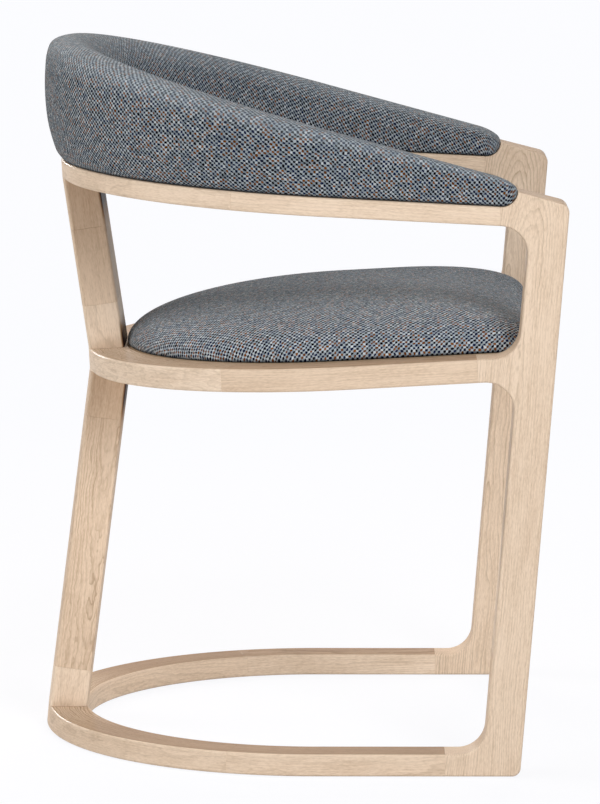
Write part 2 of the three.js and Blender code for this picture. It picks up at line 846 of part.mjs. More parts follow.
buildFrame(base, 'base', plainFrame(base), glideHoles.map((hole) => hole.translate(0, 0, -base.rise)));
buildSeat();
buildBack();

const group = new THREE.Group();
group.add(...groups.values(), ...buildLegs(), ...buildPost());
Object.entries(glideSpots).forEach(([name, spot]) => {
  const mesh = named(name, solid(glideBody()), plastic);
  mesh.position.copy(spot);
  group.add(mesh);
});
group.updateMatrixWorld(true);
const box = new THREE.Box3().setFromObject(group, true);
group.position.y = -(box.min.y + box.max.y) / 2;

export default group;
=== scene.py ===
# Tub chair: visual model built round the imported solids. Metres, +Z up, the chair faces -Y.

import json
import math

import bpy
import numpy as np
from mathutils import Matrix, Vector


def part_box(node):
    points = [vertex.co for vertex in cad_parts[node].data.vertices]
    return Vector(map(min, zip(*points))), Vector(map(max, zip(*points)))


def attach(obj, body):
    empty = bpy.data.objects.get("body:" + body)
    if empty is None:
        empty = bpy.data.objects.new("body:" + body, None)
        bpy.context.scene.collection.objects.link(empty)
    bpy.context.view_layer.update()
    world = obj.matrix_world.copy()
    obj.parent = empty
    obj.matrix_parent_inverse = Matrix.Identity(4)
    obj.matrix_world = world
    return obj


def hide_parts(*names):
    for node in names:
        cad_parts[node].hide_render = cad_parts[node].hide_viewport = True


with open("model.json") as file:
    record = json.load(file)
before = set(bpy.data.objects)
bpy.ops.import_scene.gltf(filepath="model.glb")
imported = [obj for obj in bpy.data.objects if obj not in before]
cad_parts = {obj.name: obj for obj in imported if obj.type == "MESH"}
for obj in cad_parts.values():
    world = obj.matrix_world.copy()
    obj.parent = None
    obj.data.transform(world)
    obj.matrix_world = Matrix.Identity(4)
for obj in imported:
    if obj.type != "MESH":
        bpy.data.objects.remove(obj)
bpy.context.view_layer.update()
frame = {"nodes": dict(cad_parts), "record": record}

MM = 0.001


# Sizes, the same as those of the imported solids

HALF_WIDTH = 280 * MM
RAIL_WIDTH = 42 * MM
EDGE_RADIUS = 2.5 * MM
LEDGE_WIDTH = 12 * MM
LEDGE_HEIGHT = 11 * MM
GLUE_GAP = 0.08 * MM
GLUE_CHAMFER = 0.18 * MM


class Frame:
    """One of the three U shaped frames: its place, tilt, height and the shape of its bend."""

    def __init__(self, rise, height, tilt, bend, reach, seam, front):
        self.rise = rise * MM
        self.height = height * MM
        self.tilt = math.radians(tilt)
        self.bend = bend * MM
        self.reach = reach * MM
        self.seam = seam * MM
        self.front = front * MM

    def world(self, points):
        """Points of the frame's own coordinates, in the chair's."""
        p = np.asarray(points, float).reshape(-1, 3)
        c, s = math.cos(self.tilt), math.sin(self.tilt)
        y = p[:, 1] * c - p[:, 2] * s + SHIFT
        z = p[:, 1] * s + p[:, 2] * c + self.rise
        return np.column_stack([p[:, 0], y, z])

    def side(self, y, z):
        """A point of the frame's middle plane, in side view, before the chair's shift."""
        c, s = math.cos(self.tilt), math.sin(self.tilt)
        return np.array([y * c - z * s, y * s + z * c + self.rise])

    def bend_point(self, angle, inset):
        """Point a distance in from the outer edge at an angle round the bend, and outwards."""
        out = np.array([-self.reach * math.cos(angle), HALF_WIDTH * math.sin(angle)])
        out /= np.linalg.norm(out)
        spot = np.array([-HALF_WIDTH * math.cos(angle), self.bend + self.reach * math.sin(angle)])
        return spot - out * inset, out

    def seam_angle(self):
        return math.asin((self.seam - self.bend) / self.reach)


BASE = Frame(rise=1, height=22.1, tilt=0, bend=0, reach=280, seam=88, front=-129)
SEAT = Frame(rise=385.8, height=23, tilt=-3.09, bend=-32, reach=267.5, seam=92, front=-160.5)
ARM = Frame(rise=558.2, height=19, tilt=2.92, bend=-12, reach=274.5, seam=83, front=-180.5)
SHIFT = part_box("base_ring_back")[1].y - BASE.bend - BASE.reach


# Camera: solved from the photo's own edges, 600 x 804 frame

def add_camera():
    focal_px = 5139.84
    frame_height_px = 804
    sensor = 36.0
    pitch, yaw, roll = 0.142983, -0.006744, -0.000405
    place = Vector((-5.26410, -0.01926 + SHIFT, 1.09342))
    forward = Vector((math.cos(yaw) * math.cos(pitch), -math.sin(yaw) * math.cos(pitch),
                      -math.sin(pitch)))
    right = Vector((-math.sin(yaw), -math.cos(yaw), 0.0))
    up = right.cross(forward)
    right, up = (right * math.cos(roll) + up * math.sin(roll),
                 up * math.cos(roll) - right * math.sin(roll))
    data = bpy.data.cameras.new("camera")
    data.sensor_fit = "VERTICAL"
    data.sensor_height = sensor
    data.sensor_width = sensor
    data.lens = focal_px / frame_height_px * sensor
    data.clip_start = 0.1
    data.clip_end = 100
    camera = bpy.data.objects.new("camera", data)
    camera.matrix_world = Matrix((
        (right.x, up.x, -forward.x, place.x),
        (right.y, up.y, -forward.y, place.y),
        (right.z, up.z, -forward.z, place.z),
        (0, 0, 0, 1)))
    bpy.context.scene.collection.objects.link(camera)
    bpy.context.scene.camera = camera
    bpy.context.scene.view_settings.view_transform = "Standard"


add_camera()


# Node helpers

class Nodes:
    """Short calls that add nodes to the tree of a material or the world."""

    def __init__(self, owner, output="ShaderNodeOutputMaterial"):
        owner.use_nodes = True
        self.tree = owner.node_tree
        self.tree.nodes.clear()
        self.output = self.tree.nodes.new(output)

    def add(self, kind, inputs=None, **settings):
        node = self.tree.nodes.new(kind)
        for key, value in settings.items():
            setattr(node, key, value)
        for key, value in (inputs or {}).items():
            self.put(node.inputs[key], value)
        return node

    def put(self, socket, value):
        if isinstance(value, bpy.types.NodeSocket):
            self.tree.links.new(value, socket)
        elif value is not None:
            socket.default_value = value

    def math(self, operation, a, b=None, c=None, clamp=False):
        node = self.tree.nodes.new("ShaderNodeMath")
        node.operation = operation
        node.use_clamp = clamp
        for socket, value in zip(node.inputs, (a, b, c)):
            self.put(socket, value)
        return node.outputs[0]

    def hypot(self, a, b):
        return self.math("SQRT", self.math("ADD", self.math("MULTIPLY", a, a),
                                           self.math("MULTIPLY", b, b)))

    def attribute(self, name, output="Fac"):
        return self.add("ShaderNodeAttribute", attribute_name=name).outputs[output]

    def split(self, vector):
        return self.add("ShaderNodeSeparateXYZ", {"Vector": vector}).outputs

    def place(self):
        return self.add("ShaderNodeTexCoord").outputs["Object"]

    def join(self, x, y, z=0.0):
        return self.add("ShaderNodeCombineXYZ", {"X": x, "Y": y, "Z": z}).outputs[0]

    def noise(self, vector, scale=1.0, detail=2.0, rough=0.5):
        node = self.add("ShaderNodeTexNoise",
                        {"Vector": vector, "Scale": scale, "Detail": detail, "Roughness": rough})
        return node.outputs["Fac"]

    def ramp(self, value, stops, mode="LINEAR"):
        node = self.add("ShaderNodeValToRGB", {"Fac": value})
        node.color_ramp.interpolation = mode
        elements = node.color_ramp.elements
        while len(elements) > 1:
            elements.remove(elements[-1])
        elements[0].position = stops[0][0]
        elements[0].color = (*stops[0][1], 1)
        for place, colour in stops[1:]:
            elements.new(place).color = (*colour, 1)
        return node.outputs["Color"]

    def mix(self, share, a, b, blend="MIX"):
        node = self.add("ShaderNodeMix", data_type="RGBA", blend_type=blend)
        self.put(node.inputs[0], share)
        self.put(node.inputs[6], a if isinstance(a, bpy.types.NodeSocket) else (*a, 1))
        self.put(node.inputs[7], b if isinstance(b, bpy.types.NodeSocket) else (*b, 1))
        return node.outputs[2]

    def remap(self, value, low, high, to_low, to_high):
        node = self.add("ShaderNodeMapRange", {
            "Value": value, "From Min": low, "From Max": high, "To Min": to_low,
            "To Max": to_high})
        return node.outputs[0]

    def bump(self, height, distance, strength):
        return self.add("ShaderNodeBump", {
            "Height": height, "Distance": distance, "Strength": strength}).outputs[0]

    def shader(self, kind, inputs):
        return self.add(kind, inputs).outputs[0]

    def show(self, shader):
        self.tree.links.new(shader, self.output.inputs["Surface"])

    def surface(self, colour, normal, **sockets):
        inputs = {name.replace("_", " "): value for name, value in sockets.items()}
        self.show(self.shader("ShaderNodeBsdfPrincipled", {
            "Base Color": colour, "Normal": normal, **inputs}))

    def seen(self):
        """1 for what the camera sees, straight, in a gloss or through something clear."""
        path = self.add("ShaderNodeLightPath").outputs
        straight = self.math("MAXIMUM", path["Is Camera Ray"], path["Is Glossy Ray"])
        return self.math("MAXIMUM", straight, path["Is Transmission Ray"])


def new_material(name):
    material = bpy.data.materials.new(name)
    return material, Nodes(material)


# Oak: growth rings round a pith line, pores and slow changes of tone. The grain attribute holds
# the place along the board and the distance from the pith line in two directions, in metres. The
# tone attribute darkens a board, the figure attribute strengthens its ring lines, the wave
# attribute bends them and the painted shade attribute browns, and past 1 blackens, shaded faces.

YEAR_WIDTH = 2.6 * MM
WHITE = (1.0, 1.0, 1.0)


def oak_material():
    material, n = new_material("oak")
    along, across, thick = n.split(n.attribute("grain", "Vector"))
    tone = n.attribute("tone")
    figure = n.attribute("figure")
    shade = n.attribute("shade")
    wave = n.attribute("wave")

    def stretched(lengthways, sideways):
        return n.join(n.math("MULTIPLY", along, lengthways), n.math("MULTIPLY", across, sideways),
                      n.math("MULTIPLY", thick, sideways))

    def swing(lengthways, sideways, detail):
        return n.math("SUBTRACT", n.noise(stretched(lengthways, sideways), 1.0, detail, 0.5), 0.5)

    bent = n.math("MULTIPLY_ADD", swing(4.0, 20.0, 2.0), 0.020, n.hypot(across, thick))
    bent = n.math("MULTIPLY_ADD", swing(24.0, 90.0, 2.0), n.math("MULTIPLY", wave, 0.0042), bent)
    bent = n.math("MULTIPLY_ADD", swing(95.0, 240.0, 1.0), n.math("MULTIPLY", wave, 0.0011), bent)
    years = n.math("DIVIDE", bent, YEAR_WIDTH)
    ring = n.math("FRACT", years)
    year = n.add("ShaderNodeTexWhiteNoise", {"W": n.math("FLOOR", years)}, noise_dimensions="1D")
    late = n.ramp(ring, [(place, (level,) * 3) for place, level in (
        (0.0, 0.25), (0.12, 0.0), (0.55, 0.08), (0.80, 0.55), (0.90, 1.0), (0.97, 0.9),
        (1.0, 0.25))])
    late = n.math("MULTIPLY", late, n.remap(year.outputs["Value"], 0.0, 1.0, 0.35, 1.0))
    late = n.math("MULTIPLY", late, n.remap(swing(9.0, 60.0, 2.0), -0.2, 0.2, 0.45, 1.15))

    fibres = n.noise(stretched(20.0, 700.0), 1.0, 3.0, 0.6)
    mottle = n.noise(stretched(230.0, 900.0), 1.0, 2.0, 0.55)
    pores = n.remap(n.noise(stretched(120.0, 1500.0), 1.0, 1.0, 0.5), 0.56, 0.70, 0.0, 1.0)
    patch = n.noise(stretched(2.2, 14.0), 1.0, 2.0, 0.5)
    cloud = n.noise(stretched(10.0, 55.0), 1.0, 3.0, 0.6)

    pale = n.mix(tone, (0.860, 0.710, 0.565), (0.700, 0.530, 0.385))
    dark = n.mix(tone, (0.590, 0.437, 0.307), (0.470, 0.330, 0.220))
    share = n.remap(fibres, 0.3, 0.7, -0.18, 0.28)
    for pattern, least, most in ((mottle, -0.18, 0.28), (cloud, -0.14, 0.22), (patch, -0.08, 0.14)):
        share = n.math("ADD", share, n.remap(pattern, 0.3, 0.7, least, most),
                       clamp=pattern is patch)
    colour = n.mix(share, pale, dark)
    colour = n.mix(n.math("MULTIPLY", late, figure, clamp=True), colour, (0.375, 0.262, 0.168))
    colour = n.mix(n.math("MULTIPLY", pores, 0.26), colour, (0.370, 0.260, 0.170))

    # Painted shade: a value of 0 to 1 browns the wood, and one of 1 to 2 blackens it
    colour = n.mix(1.0, colour, n.mix(shade, WHITE, (0.42, 0.31, 0.21)), "MULTIPLY")
    painted_black = n.math("SUBTRACT", shade, 1.0, clamp=True)
    colour = n.mix(1.0, colour, n.mix(painted_black, WHITE, (0.12, 0.09, 0.12)), "MULTIPLY")

    relief = n.math("SUBTRACT", n.math("MULTIPLY", fibres, 0.25), n.math("MULTIPLY", pores, 0.6))
    normal = n.bump(relief, 0.00012, 0.6)
    rough = n.remap(share, 0.0, 1.0, 0.42, 0.54)
    n.surface(colour, normal, Roughness=rough, Specular_IOR_Level=0.0, Coat_Weight=0.20,
              Coat_Roughness=0.18)
    return material


# Upholstery: a plain weave of pale warp and dark mixed weft. The weave attribute holds the place
# on the cloth, in metres, and a painted light and shade factor for the cloth's brightness. The
# second attribute is 1 on tops, where the weave is mixed toward a flat blue-grey as painted sheen.

YARN = 2.3 * MM


def fabric_material():
    material, n = new_material("fabric")
    # The weave's third value is the painted light and shade factor
    u, v, fade = n.split(n.attribute("weave", "Vector"))
    painted_sheen = n.attribute("painted_sheen")

    def scaled(u, v, scale):
        return n.join(n.math("MULTIPLY", u, scale), n.math("MULTIPLY", v, scale))

    def wander(scale, amount, u, v):
        """Moves the yarns sideways by a smooth noise, as they lie in real cloth."""
        drift = n.add("ShaderNodeTexNoise", {
            "Vector": scaled(u, v, scale), "Scale": 1.0, "Detail": 1.0})
        du, dv, _ = n.split(drift.outputs["Color"])
        return (n.math("MULTIPLY_ADD", n.math("SUBTRACT", du, 0.5), amount, u),
                n.math("MULTIPLY_ADD", n.math("SUBTRACT", dv, 0.5), amount, v))

    u, v = wander(60.0, 3.0 * MM, u, v)
    u, v = wander(330.0, 2.1 * MM, u, v)
    cu, cv = n.math("DIVIDE", u, YARN), n.math("DIVIDE", v, YARN)
    iu, iv = n.math("FLOOR", cu), n.math("FLOOR", cv)
    fu, fv = (n.math("SUBTRACT", n.math("SUBTRACT", c, i), 0.5) for c, i in ((cu, iu), (cv, iv)))
    weft_up = n.math("FLOORED_MODULO", n.math("ADD", iu, iv), 2.0)

    # A dark weft float shows as a slanting oval inside its cell, and pale warp closes round it
    hill = n.math("MULTIPLY", n.math("COSINE", n.math("MULTIPLY", fu, math.pi)),
                  n.math("COSINE", n.math("MULTIPLY", fv, math.pi)))
    lengthways = n.math("DIVIDE", n.math("SUBTRACT", fu, fv), 0.90)
    sideways = n.math("DIVIDE", n.math("ADD", fu, fv), 0.66)
    oval = n.remap(n.hypot(lengthways, sideways), 0.88, 1.08, 1.0, 0.0)
    weft_seen = n.math("MULTIPLY", weft_up, oval, clamp=True)

    cell = n.join(iu, iv)
    pick = n.add("ShaderNodeTexWhiteNoise", {"Vector": cell}, noise_dimensions="2D")
    odd = n.math("FLOORED_MODULO", iu, 2.0)
    picked = n.math("MULTIPLY_ADD", odd, -0.28, pick.outputs["Value"])
    weft = n.ramp(picked, [
        (0.0, (0.003, 0.002, 0.005)), (0.18, (0.001, 0.003, 0.018)),
        (0.34, (0.003, 0.007, 0.034)), (0.52, (0.095, 0.027, 0.003)),
        (0.70, (0.140, 0.044, 0.007)), (0.88, (0.005, 0.012, 0.046)),
    ], "CONSTANT")
    again = n.add("ShaderNodeTexWhiteNoise", {"Vector": cell, "W": 7.0}, noise_dimensions="4D")
    warp = n.ramp(again.outputs["Value"], [
        (0.0, (0.272, 0.318, 0.356)), (0.38, (0.345, 0.390, 0.426)),
        (0.72, (0.205, 0.248, 0.288)), (0.86, (0.430, 0.468, 0.500)),
    ], "CONSTANT")
    fuzz = n.noise(scaled(u, v, 2600.0))
    colour = n.mix(weft_seen, warp, weft)
    # Painted shade darkens each cell towards its borders, in the crevices between yarns
    edge = n.remap(hill, 0.0, 0.5, 0.60, 1.0)
    colour = n.mix(1.0, colour, n.join(edge, edge, edge), "MULTIPLY")
    fluff = n.math("MULTIPLY", n.remap(fuzz, 0.40, 0.75, 0.0, 0.25),
                   n.math("SUBTRACT", 1.0, weft_seen))
    colour = n.mix(fluff, colour, (0.190, 0.218, 0.245))
    # Painted sheen: on the tops the weave is mixed toward a flat blue-grey
    colour = n.mix(n.math("MULTIPLY", painted_sheen, 0.55), colour, (0.165, 0.186, 0.205))

    # Thicker and thinner stretches of yarn make soft light and dark patches, which multiply with
    # the painted light and shade
    slub = n.noise(scaled(u, v, 190.0))
    fade = n.math("MULTIPLY", fade, n.remap(slub, 0.3, 0.7, 0.82, 1.20))
    colour = n.mix(1.0, colour, n.join(fade, fade, fade), "MULTIPLY")
    height = n.math("ADD", hill, n.math("MULTIPLY", fuzz, 0.35))
    normal = n.bump(height, 0.00045, 0.8)
    n.surface(colour, normal, Roughness=0.88, Specular_IOR_Level=0.0, Sheen_Weight=0.16,
              Sheen_Roughness=0.30, Sheen_Tint=(0.80, 0.86, 0.90, 1))
    return material


# Plain parts that are seen from below or not at all

def lining_material():
    material, n = new_material("lining")
    place = n.place()
    grain = n.noise(place, 900.0, 3.0, 0.7)
    felt = n.noise(place, 60.0, 2.0, 0.5)
    colour = n.ramp(n.math("MULTIPLY_ADD", felt, 0.4, n.math("MULTIPLY", grain, 0.6)), [
        (0.3, (0.008, 0.008, 0.009)), (0.7, (0.030, 0.030, 0.032))])
    n.surface(colour, n.bump(grain, 0.0002, 0.6), Roughness=0.95, Specular_IOR_Level=0.2)
    return material


def plywood_material():
    material, n = new_material("plywood")
    place = n.place()
    x, y, z = n.split(place)
    streak = n.noise(n.join(n.math("MULTIPLY", x, 12.0), n.math("MULTIPLY", y, 260.0),
                            n.math("MULTIPLY", z, 900.0)), 1.0, 4.0, 0.6)
    colour = n.ramp(streak, [(0.3, (0.560, 0.415, 0.265)), (0.7, (0.420, 0.285, 0.170))])
    n.surface(colour, n.bump(streak, 0.0001, 0.5), Roughness=0.7)
    return material


def steel_material():
    material, n = new_material("steel")
    place = n.place()
    marks = n.noise(place, 2200.0, 3.0, 0.6)
    colour = n.ramp(marks, [(0.3, (0.42, 0.41, 0.39)), (0.7, (0.55, 0.54, 0.52))])
    n.surface(colour, n.bump(marks, 0.00003, 0.4), Metallic=1.0,
              Roughness=n.remap(marks, 0.3, 0.7, 0.28, 0.42))
    return material


def glide_material():
    material, n = new_material("glide_plastic")
    place = n.place()
    grain = n.noise(place, 1600.0, 2.0, 0.5)
    scuff = n.noise(place, 180.0, 3.0, 0.6)
    colour = n.ramp(scuff, [(0.35, (0.020, 0.020, 0.021)), (0.75, (0.050, 0.050, 0.050))])
    n.surface(colour, n.bump(grain, 0.00005, 0.5), Roughness=n.remap(scuff, 0.3, 0.7, 0.5, 0.7))
    return material


OAK = oak_material()
FABRIC = fabric_material()
LINING = lining_material()
PLYWOOD = plywood_material()
STEEL = steel_material()
GLIDE = glide_material()


# Meshes

def add_piece(name, verts, faces, material, replaced, attributes=(), crisp=True):
    """A visible piece that rides on the chair and stands for the named solids."""
    mesh = bpy.data.meshes.new(name)
    mesh.from_pydata([tuple(v) for v in verts], [], faces)
    mesh.polygons.foreach_set("use_smooth", [True] * len(mesh.polygons))
    for key, kind, values in attributes:
        layer = mesh.attributes.new(key, kind, "POINT")
        field = "vector" if kind == "FLOAT_VECTOR" else "value"
        layer.data.foreach_set(field, np.asarray(values, np.float32).ravel())
    mesh.materials.append(material)
    mesh.update()
    piece = bpy.data.objects.new(name, mesh)
    bpy.context.scene.collection.objects.link(piece)
    if crisp:
        mesh.set_sharp_from_angle(angle=math.radians(38))
        weighted = piece.modifiers.new("even_faces", "WEIGHTED_NORMAL")
        weighted.keep_sharp = True
        weighted.weight = 80
    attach(piece, "root")
    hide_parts(*replaced)
    return piece


def add_oak(node, verts, faces, grain_values, **looks):
    """The board that stands for a node's solid, with its looks as attributes."""
    attributes = [("grain", "FLOAT_VECTOR", grain_values)]
    attributes += [(key, "FLOAT", np.broadcast_to(value, len(verts)))
                   for key, value in looks.items()]
    add_piece(f"oak_{node}", verts, faces, OAK, [node], attributes)


def closed_faces(rows, count):
    """Quads between rows of a closed loop of count points each, and a face over either end."""
    faces = []
    for a in range(0, (rows - 1) * count, count):
        b = a + count
        faces += [(a + i, a + (i + 1) % count, b + (i + 1) % count, b + i) for i in range(count)]
    last = (rows - 1) * count
    return faces + [tuple(range(count - 1, -1, -1)), tuple(range(last, last + count))]


def lengths_along(points):
    """Length along a row of points, at each of them."""
    steps = np.linalg.norm(np.diff(points, axis=0), axis=1)
    return np.concatenate([[0], np.cumsum(steps)])


def arc_steps(start, end, steps):
    return [start + (end - start) * i / steps for i in range(steps + 1)]


def rounded_loop(corners, steps=5):
    """Closed outline of corners (x, y, radius) with arcs in place of the corners."""
    points = []
    count = len(corners)
    for i, (x, y, radius) in enumerate(corners):
        here = np.array([x, y])
        if not radius:
            points.append(here)
            continue
        back = np.array(corners[i - 1][:2]) - here
        ahead = np.array(corners[(i + 1) % count][:2]) - here
        back /= np.linalg.norm(back)
        ahead /= np.linalg.norm(ahead)
        half = math.acos(max(-1.0, min(1.0, float(back @ ahead)))) / 2
        middle = back + ahead
        centre = here + middle / np.linalg.norm(middle) * radius / math.sin(half)
        first = here + back * radius / math.tan(half) - centre
        last = here + ahead * radius / math.tan(half) - centre
        a0, a1 = math.atan2(first[1], first[0]), math.atan2(last[1], last[0])
        turn = (a1 - a0 + math.pi) % (2 * math.pi) - math.pi
        for angle in arc_steps(a0, a0 + turn, steps):
            points.append(centre + radius * np.array([math.cos(angle), math.sin(angle)]))
    return np.array(points)


def miters(points):
    """For each point of a closed outline, the move that shifts its sides by one unit inwards."""
    following = np.roll(points, -1, axis=0)
    before = points - np.roll(points, 1, axis=0)
    after = following - points
    area = np.sum(points[:, 0] * following[:, 1] - following[:, 0] * points[:, 1])
    sign = 1.0 if area > 0 else -1.0

    def normal(edge):
        edge = edge / np.linalg.norm(edge, axis=1)[:, None]
        return sign * np.column_stack([-edge[:, 1], edge[:, 0]])

    a, b = normal(before), normal(after)
    total = a + b
    return total / (np.sum(total * a, axis=1)[:, None])


def grain(along, across, thick, seed, pith, lean):
    """Grain attribute: pith is where the growth rings' middle lies, in across and thick."""
    along, across, thick = (np.asarray(x, float) for x in (along, across, thick))
    return np.column_stack([along + seed * 1.37, across - pith[0],
                            thick - pith[1] + lean * along])


# Rails and rear bends of the three frames. Behind, their outer edge is drawn in to lie flush with
# the post's bowed outer face: (share at the underside, share at the top) of the whole depth.

POST_WIDTH = 86 * MM
FLUSH_INSET = 2 * MM
FLUSH_REACH = 150 * MM
FLUSH_SHARES = {"base": (0.0, 1.0), "seat": (1.0, 1.0), "arm": (1.0, 0.0)}


def smooth_step(value, low, high):
    t = np.clip((value - low) / (high - low), 0.0, 1.0)
    return t * t * (3 - 2 * t)


def post_outer(chair_frame):
    return chair_frame.bend + chair_frame.reach - FLUSH_INSET


def post_bow(chair_frame):
    """How far the middle of a bend lies behind its points straight over the post's sides."""
    return chair_frame.reach * (1 - math.sqrt(1 - (POST_WIDTH / 2 / HALF_WIDTH) ** 2))


def flush_section(chair_frame, shares, section, spot):
    """The section where it passes a spot of the bend: drawn in, and square against the post."""
    aside = abs(spot[0])
    if spot[1] < chair_frame.bend or aside > FLUSH_REACH:
        return section
    level = section[:, 1] / chair_frame.height
    low, high = shares
    share = low + (high - low) * level
    fade = 1 - smooth_step(aside, POST_WIDTH / 2, FLUSH_REACH)
    sharp = 1 - smooth_step(aside, POST_WIDTH / 2 - 1 * MM, POST_WIDTH / 2 + 2 * MM)
    meets = np.where(level > 0.5, high, low) * sharp
    near_edge = section[:, 0] < EDGE_RADIUS * 1.01
    drawn = section.copy()
    drawn[:, 0] = np.where(near_edge, section[:, 0] * (1 - meets)
                           + FLUSH_INSET * share * fade, section[:, 0])
    return drawn


def rail_section(chair_frame):
    """Outline of a frame's board: distance in from the outer edge, and height."""
    w, h, r = RAIL_WIDTH, chair_frame.height, EDGE_RADIUS
    if chair_frame is not SEAT:
        return rounded_loop([(0, 0, r), (w, 0, r), (w, h, r), (0, h, r)])
    small = 1.0 * MM
    ledge = w + LEDGE_WIDTH
    return rounded_loop([(0, 0, r), (ledge, 0, small), (ledge, LEDGE_HEIGHT, small),
                         (w, LEDGE_HEIGHT, 0), (w, h, small), (0, h, r)])


def path_stations(chair_frame, part):
    """Stations (plan point, outwards, way along) of one board from one end to the other."""
    stations = []
    seam = chair_frame.seam_angle()
    if part == "ring_back":
        start = seam + GLUE_GAP / chair_frame.reach
        for angle in arc_steps(start, math.pi - start, 150):
            spot, out = chair_frame.bend_point(angle, 0)
            stations.append((spot, out))
    else:
        side = -1.0 if part == "rail_right" else 1.0
        front, bend = chair_frame.front + GLUE_GAP, chair_frame.bend
        for y in arc_steps(front, bend, 24)[:-1]:
            stations.append((np.array([side * HALF_WIDTH, y]), np.array([side, 0.0])))
        for angle in arc_steps(0, seam, 36):
            spot, out = chair_frame.bend_point(angle if side < 0 else math.pi - angle, 0)
            stations.append((spot, out))
        if side > 0:
            stations.reverse()
    return stations


def sweep(chair_frame, shares, stations, section):
    """Skin of a section swept along stations, with a small chamfer at both ends."""
    spots, outs = (np.array(column) for column in zip(*stations))
    ways = np.column_stack([outs[:, 1], -outs[:, 0]])
    middle = spots - outs * RAIL_WIDTH / 2
    length = lengths_along(middle)
    length -= length[-1] / 2
    inner = section + miters(section) * GLUE_CHAMFER
    first, last = 0, len(stations) - 1
    rows = [(first, 0.0, inner), (first, 1.0, section)]
    rows += [(i, 0.0, section) for i in range(1, last)]
    rows += [(last, -1.0, section), (last, 0.0, inner)]
    is_top = (section[:, 1] > chair_frame.height - 0.1 * MM) & (section[:, 0] > EDGE_RADIUS / 2)
    verts, along, across, thick = [], [], [], []
    for i, step, outline in rows:
        outline = flush_section(chair_frame, shares, outline, spots[i])
        moved = spots[i] + ways[i] * step * GLUE_CHAMFER
        plan = moved - outs[i] * outline[:, :1]
        verts.append(np.column_stack([plan, outline[:, 1]]))
        along += [length[i]] * len(outline)
        across += list(outline[:, 0])
        thick += list(outline[:, 1])
    faces = closed_faces(len(rows), len(section))
    return np.vstack(verts), faces, along, across, thick, np.tile(is_top, len(rows))


# Top faces get painted shade, browner than the sides and less so near the post, and show stronger
# ring lines

TOP_PAINTED_SHADES = {"base": 0.66, "seat": 0.48, "arm": 0.60}
TOP_PAINTED_SHADE_AT_POST = 0.32
TOP_PAINTED_SHADE_SPAN = (60 * MM, 190 * MM)
TOP_FIGURE = 0.70


def build_frames():
    # Seed, pith, lean, tone, figure and wave of each board
    looks = {
        ("base", "ring_back"): (3.0, (0.070, 0.004), 0.010, 0.30, 0.45, 1.3),
        ("base", "rail_right"): (7.0, (0.066, -0.010), 0.012, 0.40, 0.35, 1.0),
        ("base", "rail_left"): (11.0, (0.018, -0.050), -0.020, 0.0, 0.35, 1.0),
        ("seat", "ring_back"): (17.0, (0.060, 0.016), -0.012, 0.0, 0.55, 2.4),
        ("seat", "rail_right"): (23.0, (0.018, -0.066), 0.020, 0.58, 0.30, 1.0),
        ("seat", "rail_left"): (29.0, (0.021, -0.050), 0.025, 0.40, 0.35, 1.0),
        ("arm", "ring_back"): (37.0, (0.060, 0.004), 0.012, 0.20, 0.50, 1.2),
        ("arm", "rail_right"): (41.0, (0.022, -0.070), -0.018, 0.32, 0.35, 1.0),
        ("arm", "rail_left"): (47.0, (0.019, -0.050), 0.020, 0.55, 0.35, 1.0),
    }
    for (name, part), (seed, pith, lean, tone, figure, wave) in looks.items():
        chair_frame = {"base": BASE, "seat": SEAT, "arm": ARM}[name]
        verts, faces, along, across, thick, is_top = sweep(
            chair_frame, FLUSH_SHARES[name], path_stations(chair_frame, part),
            rail_section(chair_frame))
        # Painted shade on the top faces, weaker near the post
        from_post = np.hypot(verts[:, 0], verts[:, 1] - post_outer(chair_frame))
        shade = TOP_PAINTED_SHADE_AT_POST + smooth_step(from_post, *TOP_PAINTED_SHADE_SPAN) * (
            TOP_PAINTED_SHADES[name] - TOP_PAINTED_SHADE_AT_POST)
        add_oak(f"{name}_{part}", chair_frame.world(verts), faces,
                grain(along, across, thick, seed, pith, lean), tone=tone,
                figure=np.where(is_top, figure + TOP_FIGURE, figure), wave=wave,
                shade=np.where(is_top, shade, 0.0))


# Front legs

LEG_DEPTH = 37.3 * MM
LEG_FOOT = -203.2 * MM
LEG_LEAN = math.radians(4.6)
FOOT_RADIUS = 8.5 * MM
HOLLOW_RADIUS = 27.5 * MM
HEAD_RISE = 11.7 * MM
HEAD_SLOPE = math.radians(14.3)
HEAD_RADIUS = 11 * MM
NEST_FRONT = -196.5 * MM
NEST_RADIUS = 15.5 * MM


def crossing(p, angle_p, q, angle_q):
    """Where two lines of the side view meet."""
    dp = np.array([math.cos(angle_p), math.sin(angle_p)])
    dq = np.array([math.cos(angle_q), math.sin(angle_q)])
    a = np.column_stack([dp, -dq])
    return np.asarray(p) + dp * np.linalg.solve(a, np.asarray(q) - np.asarray(p))[0]


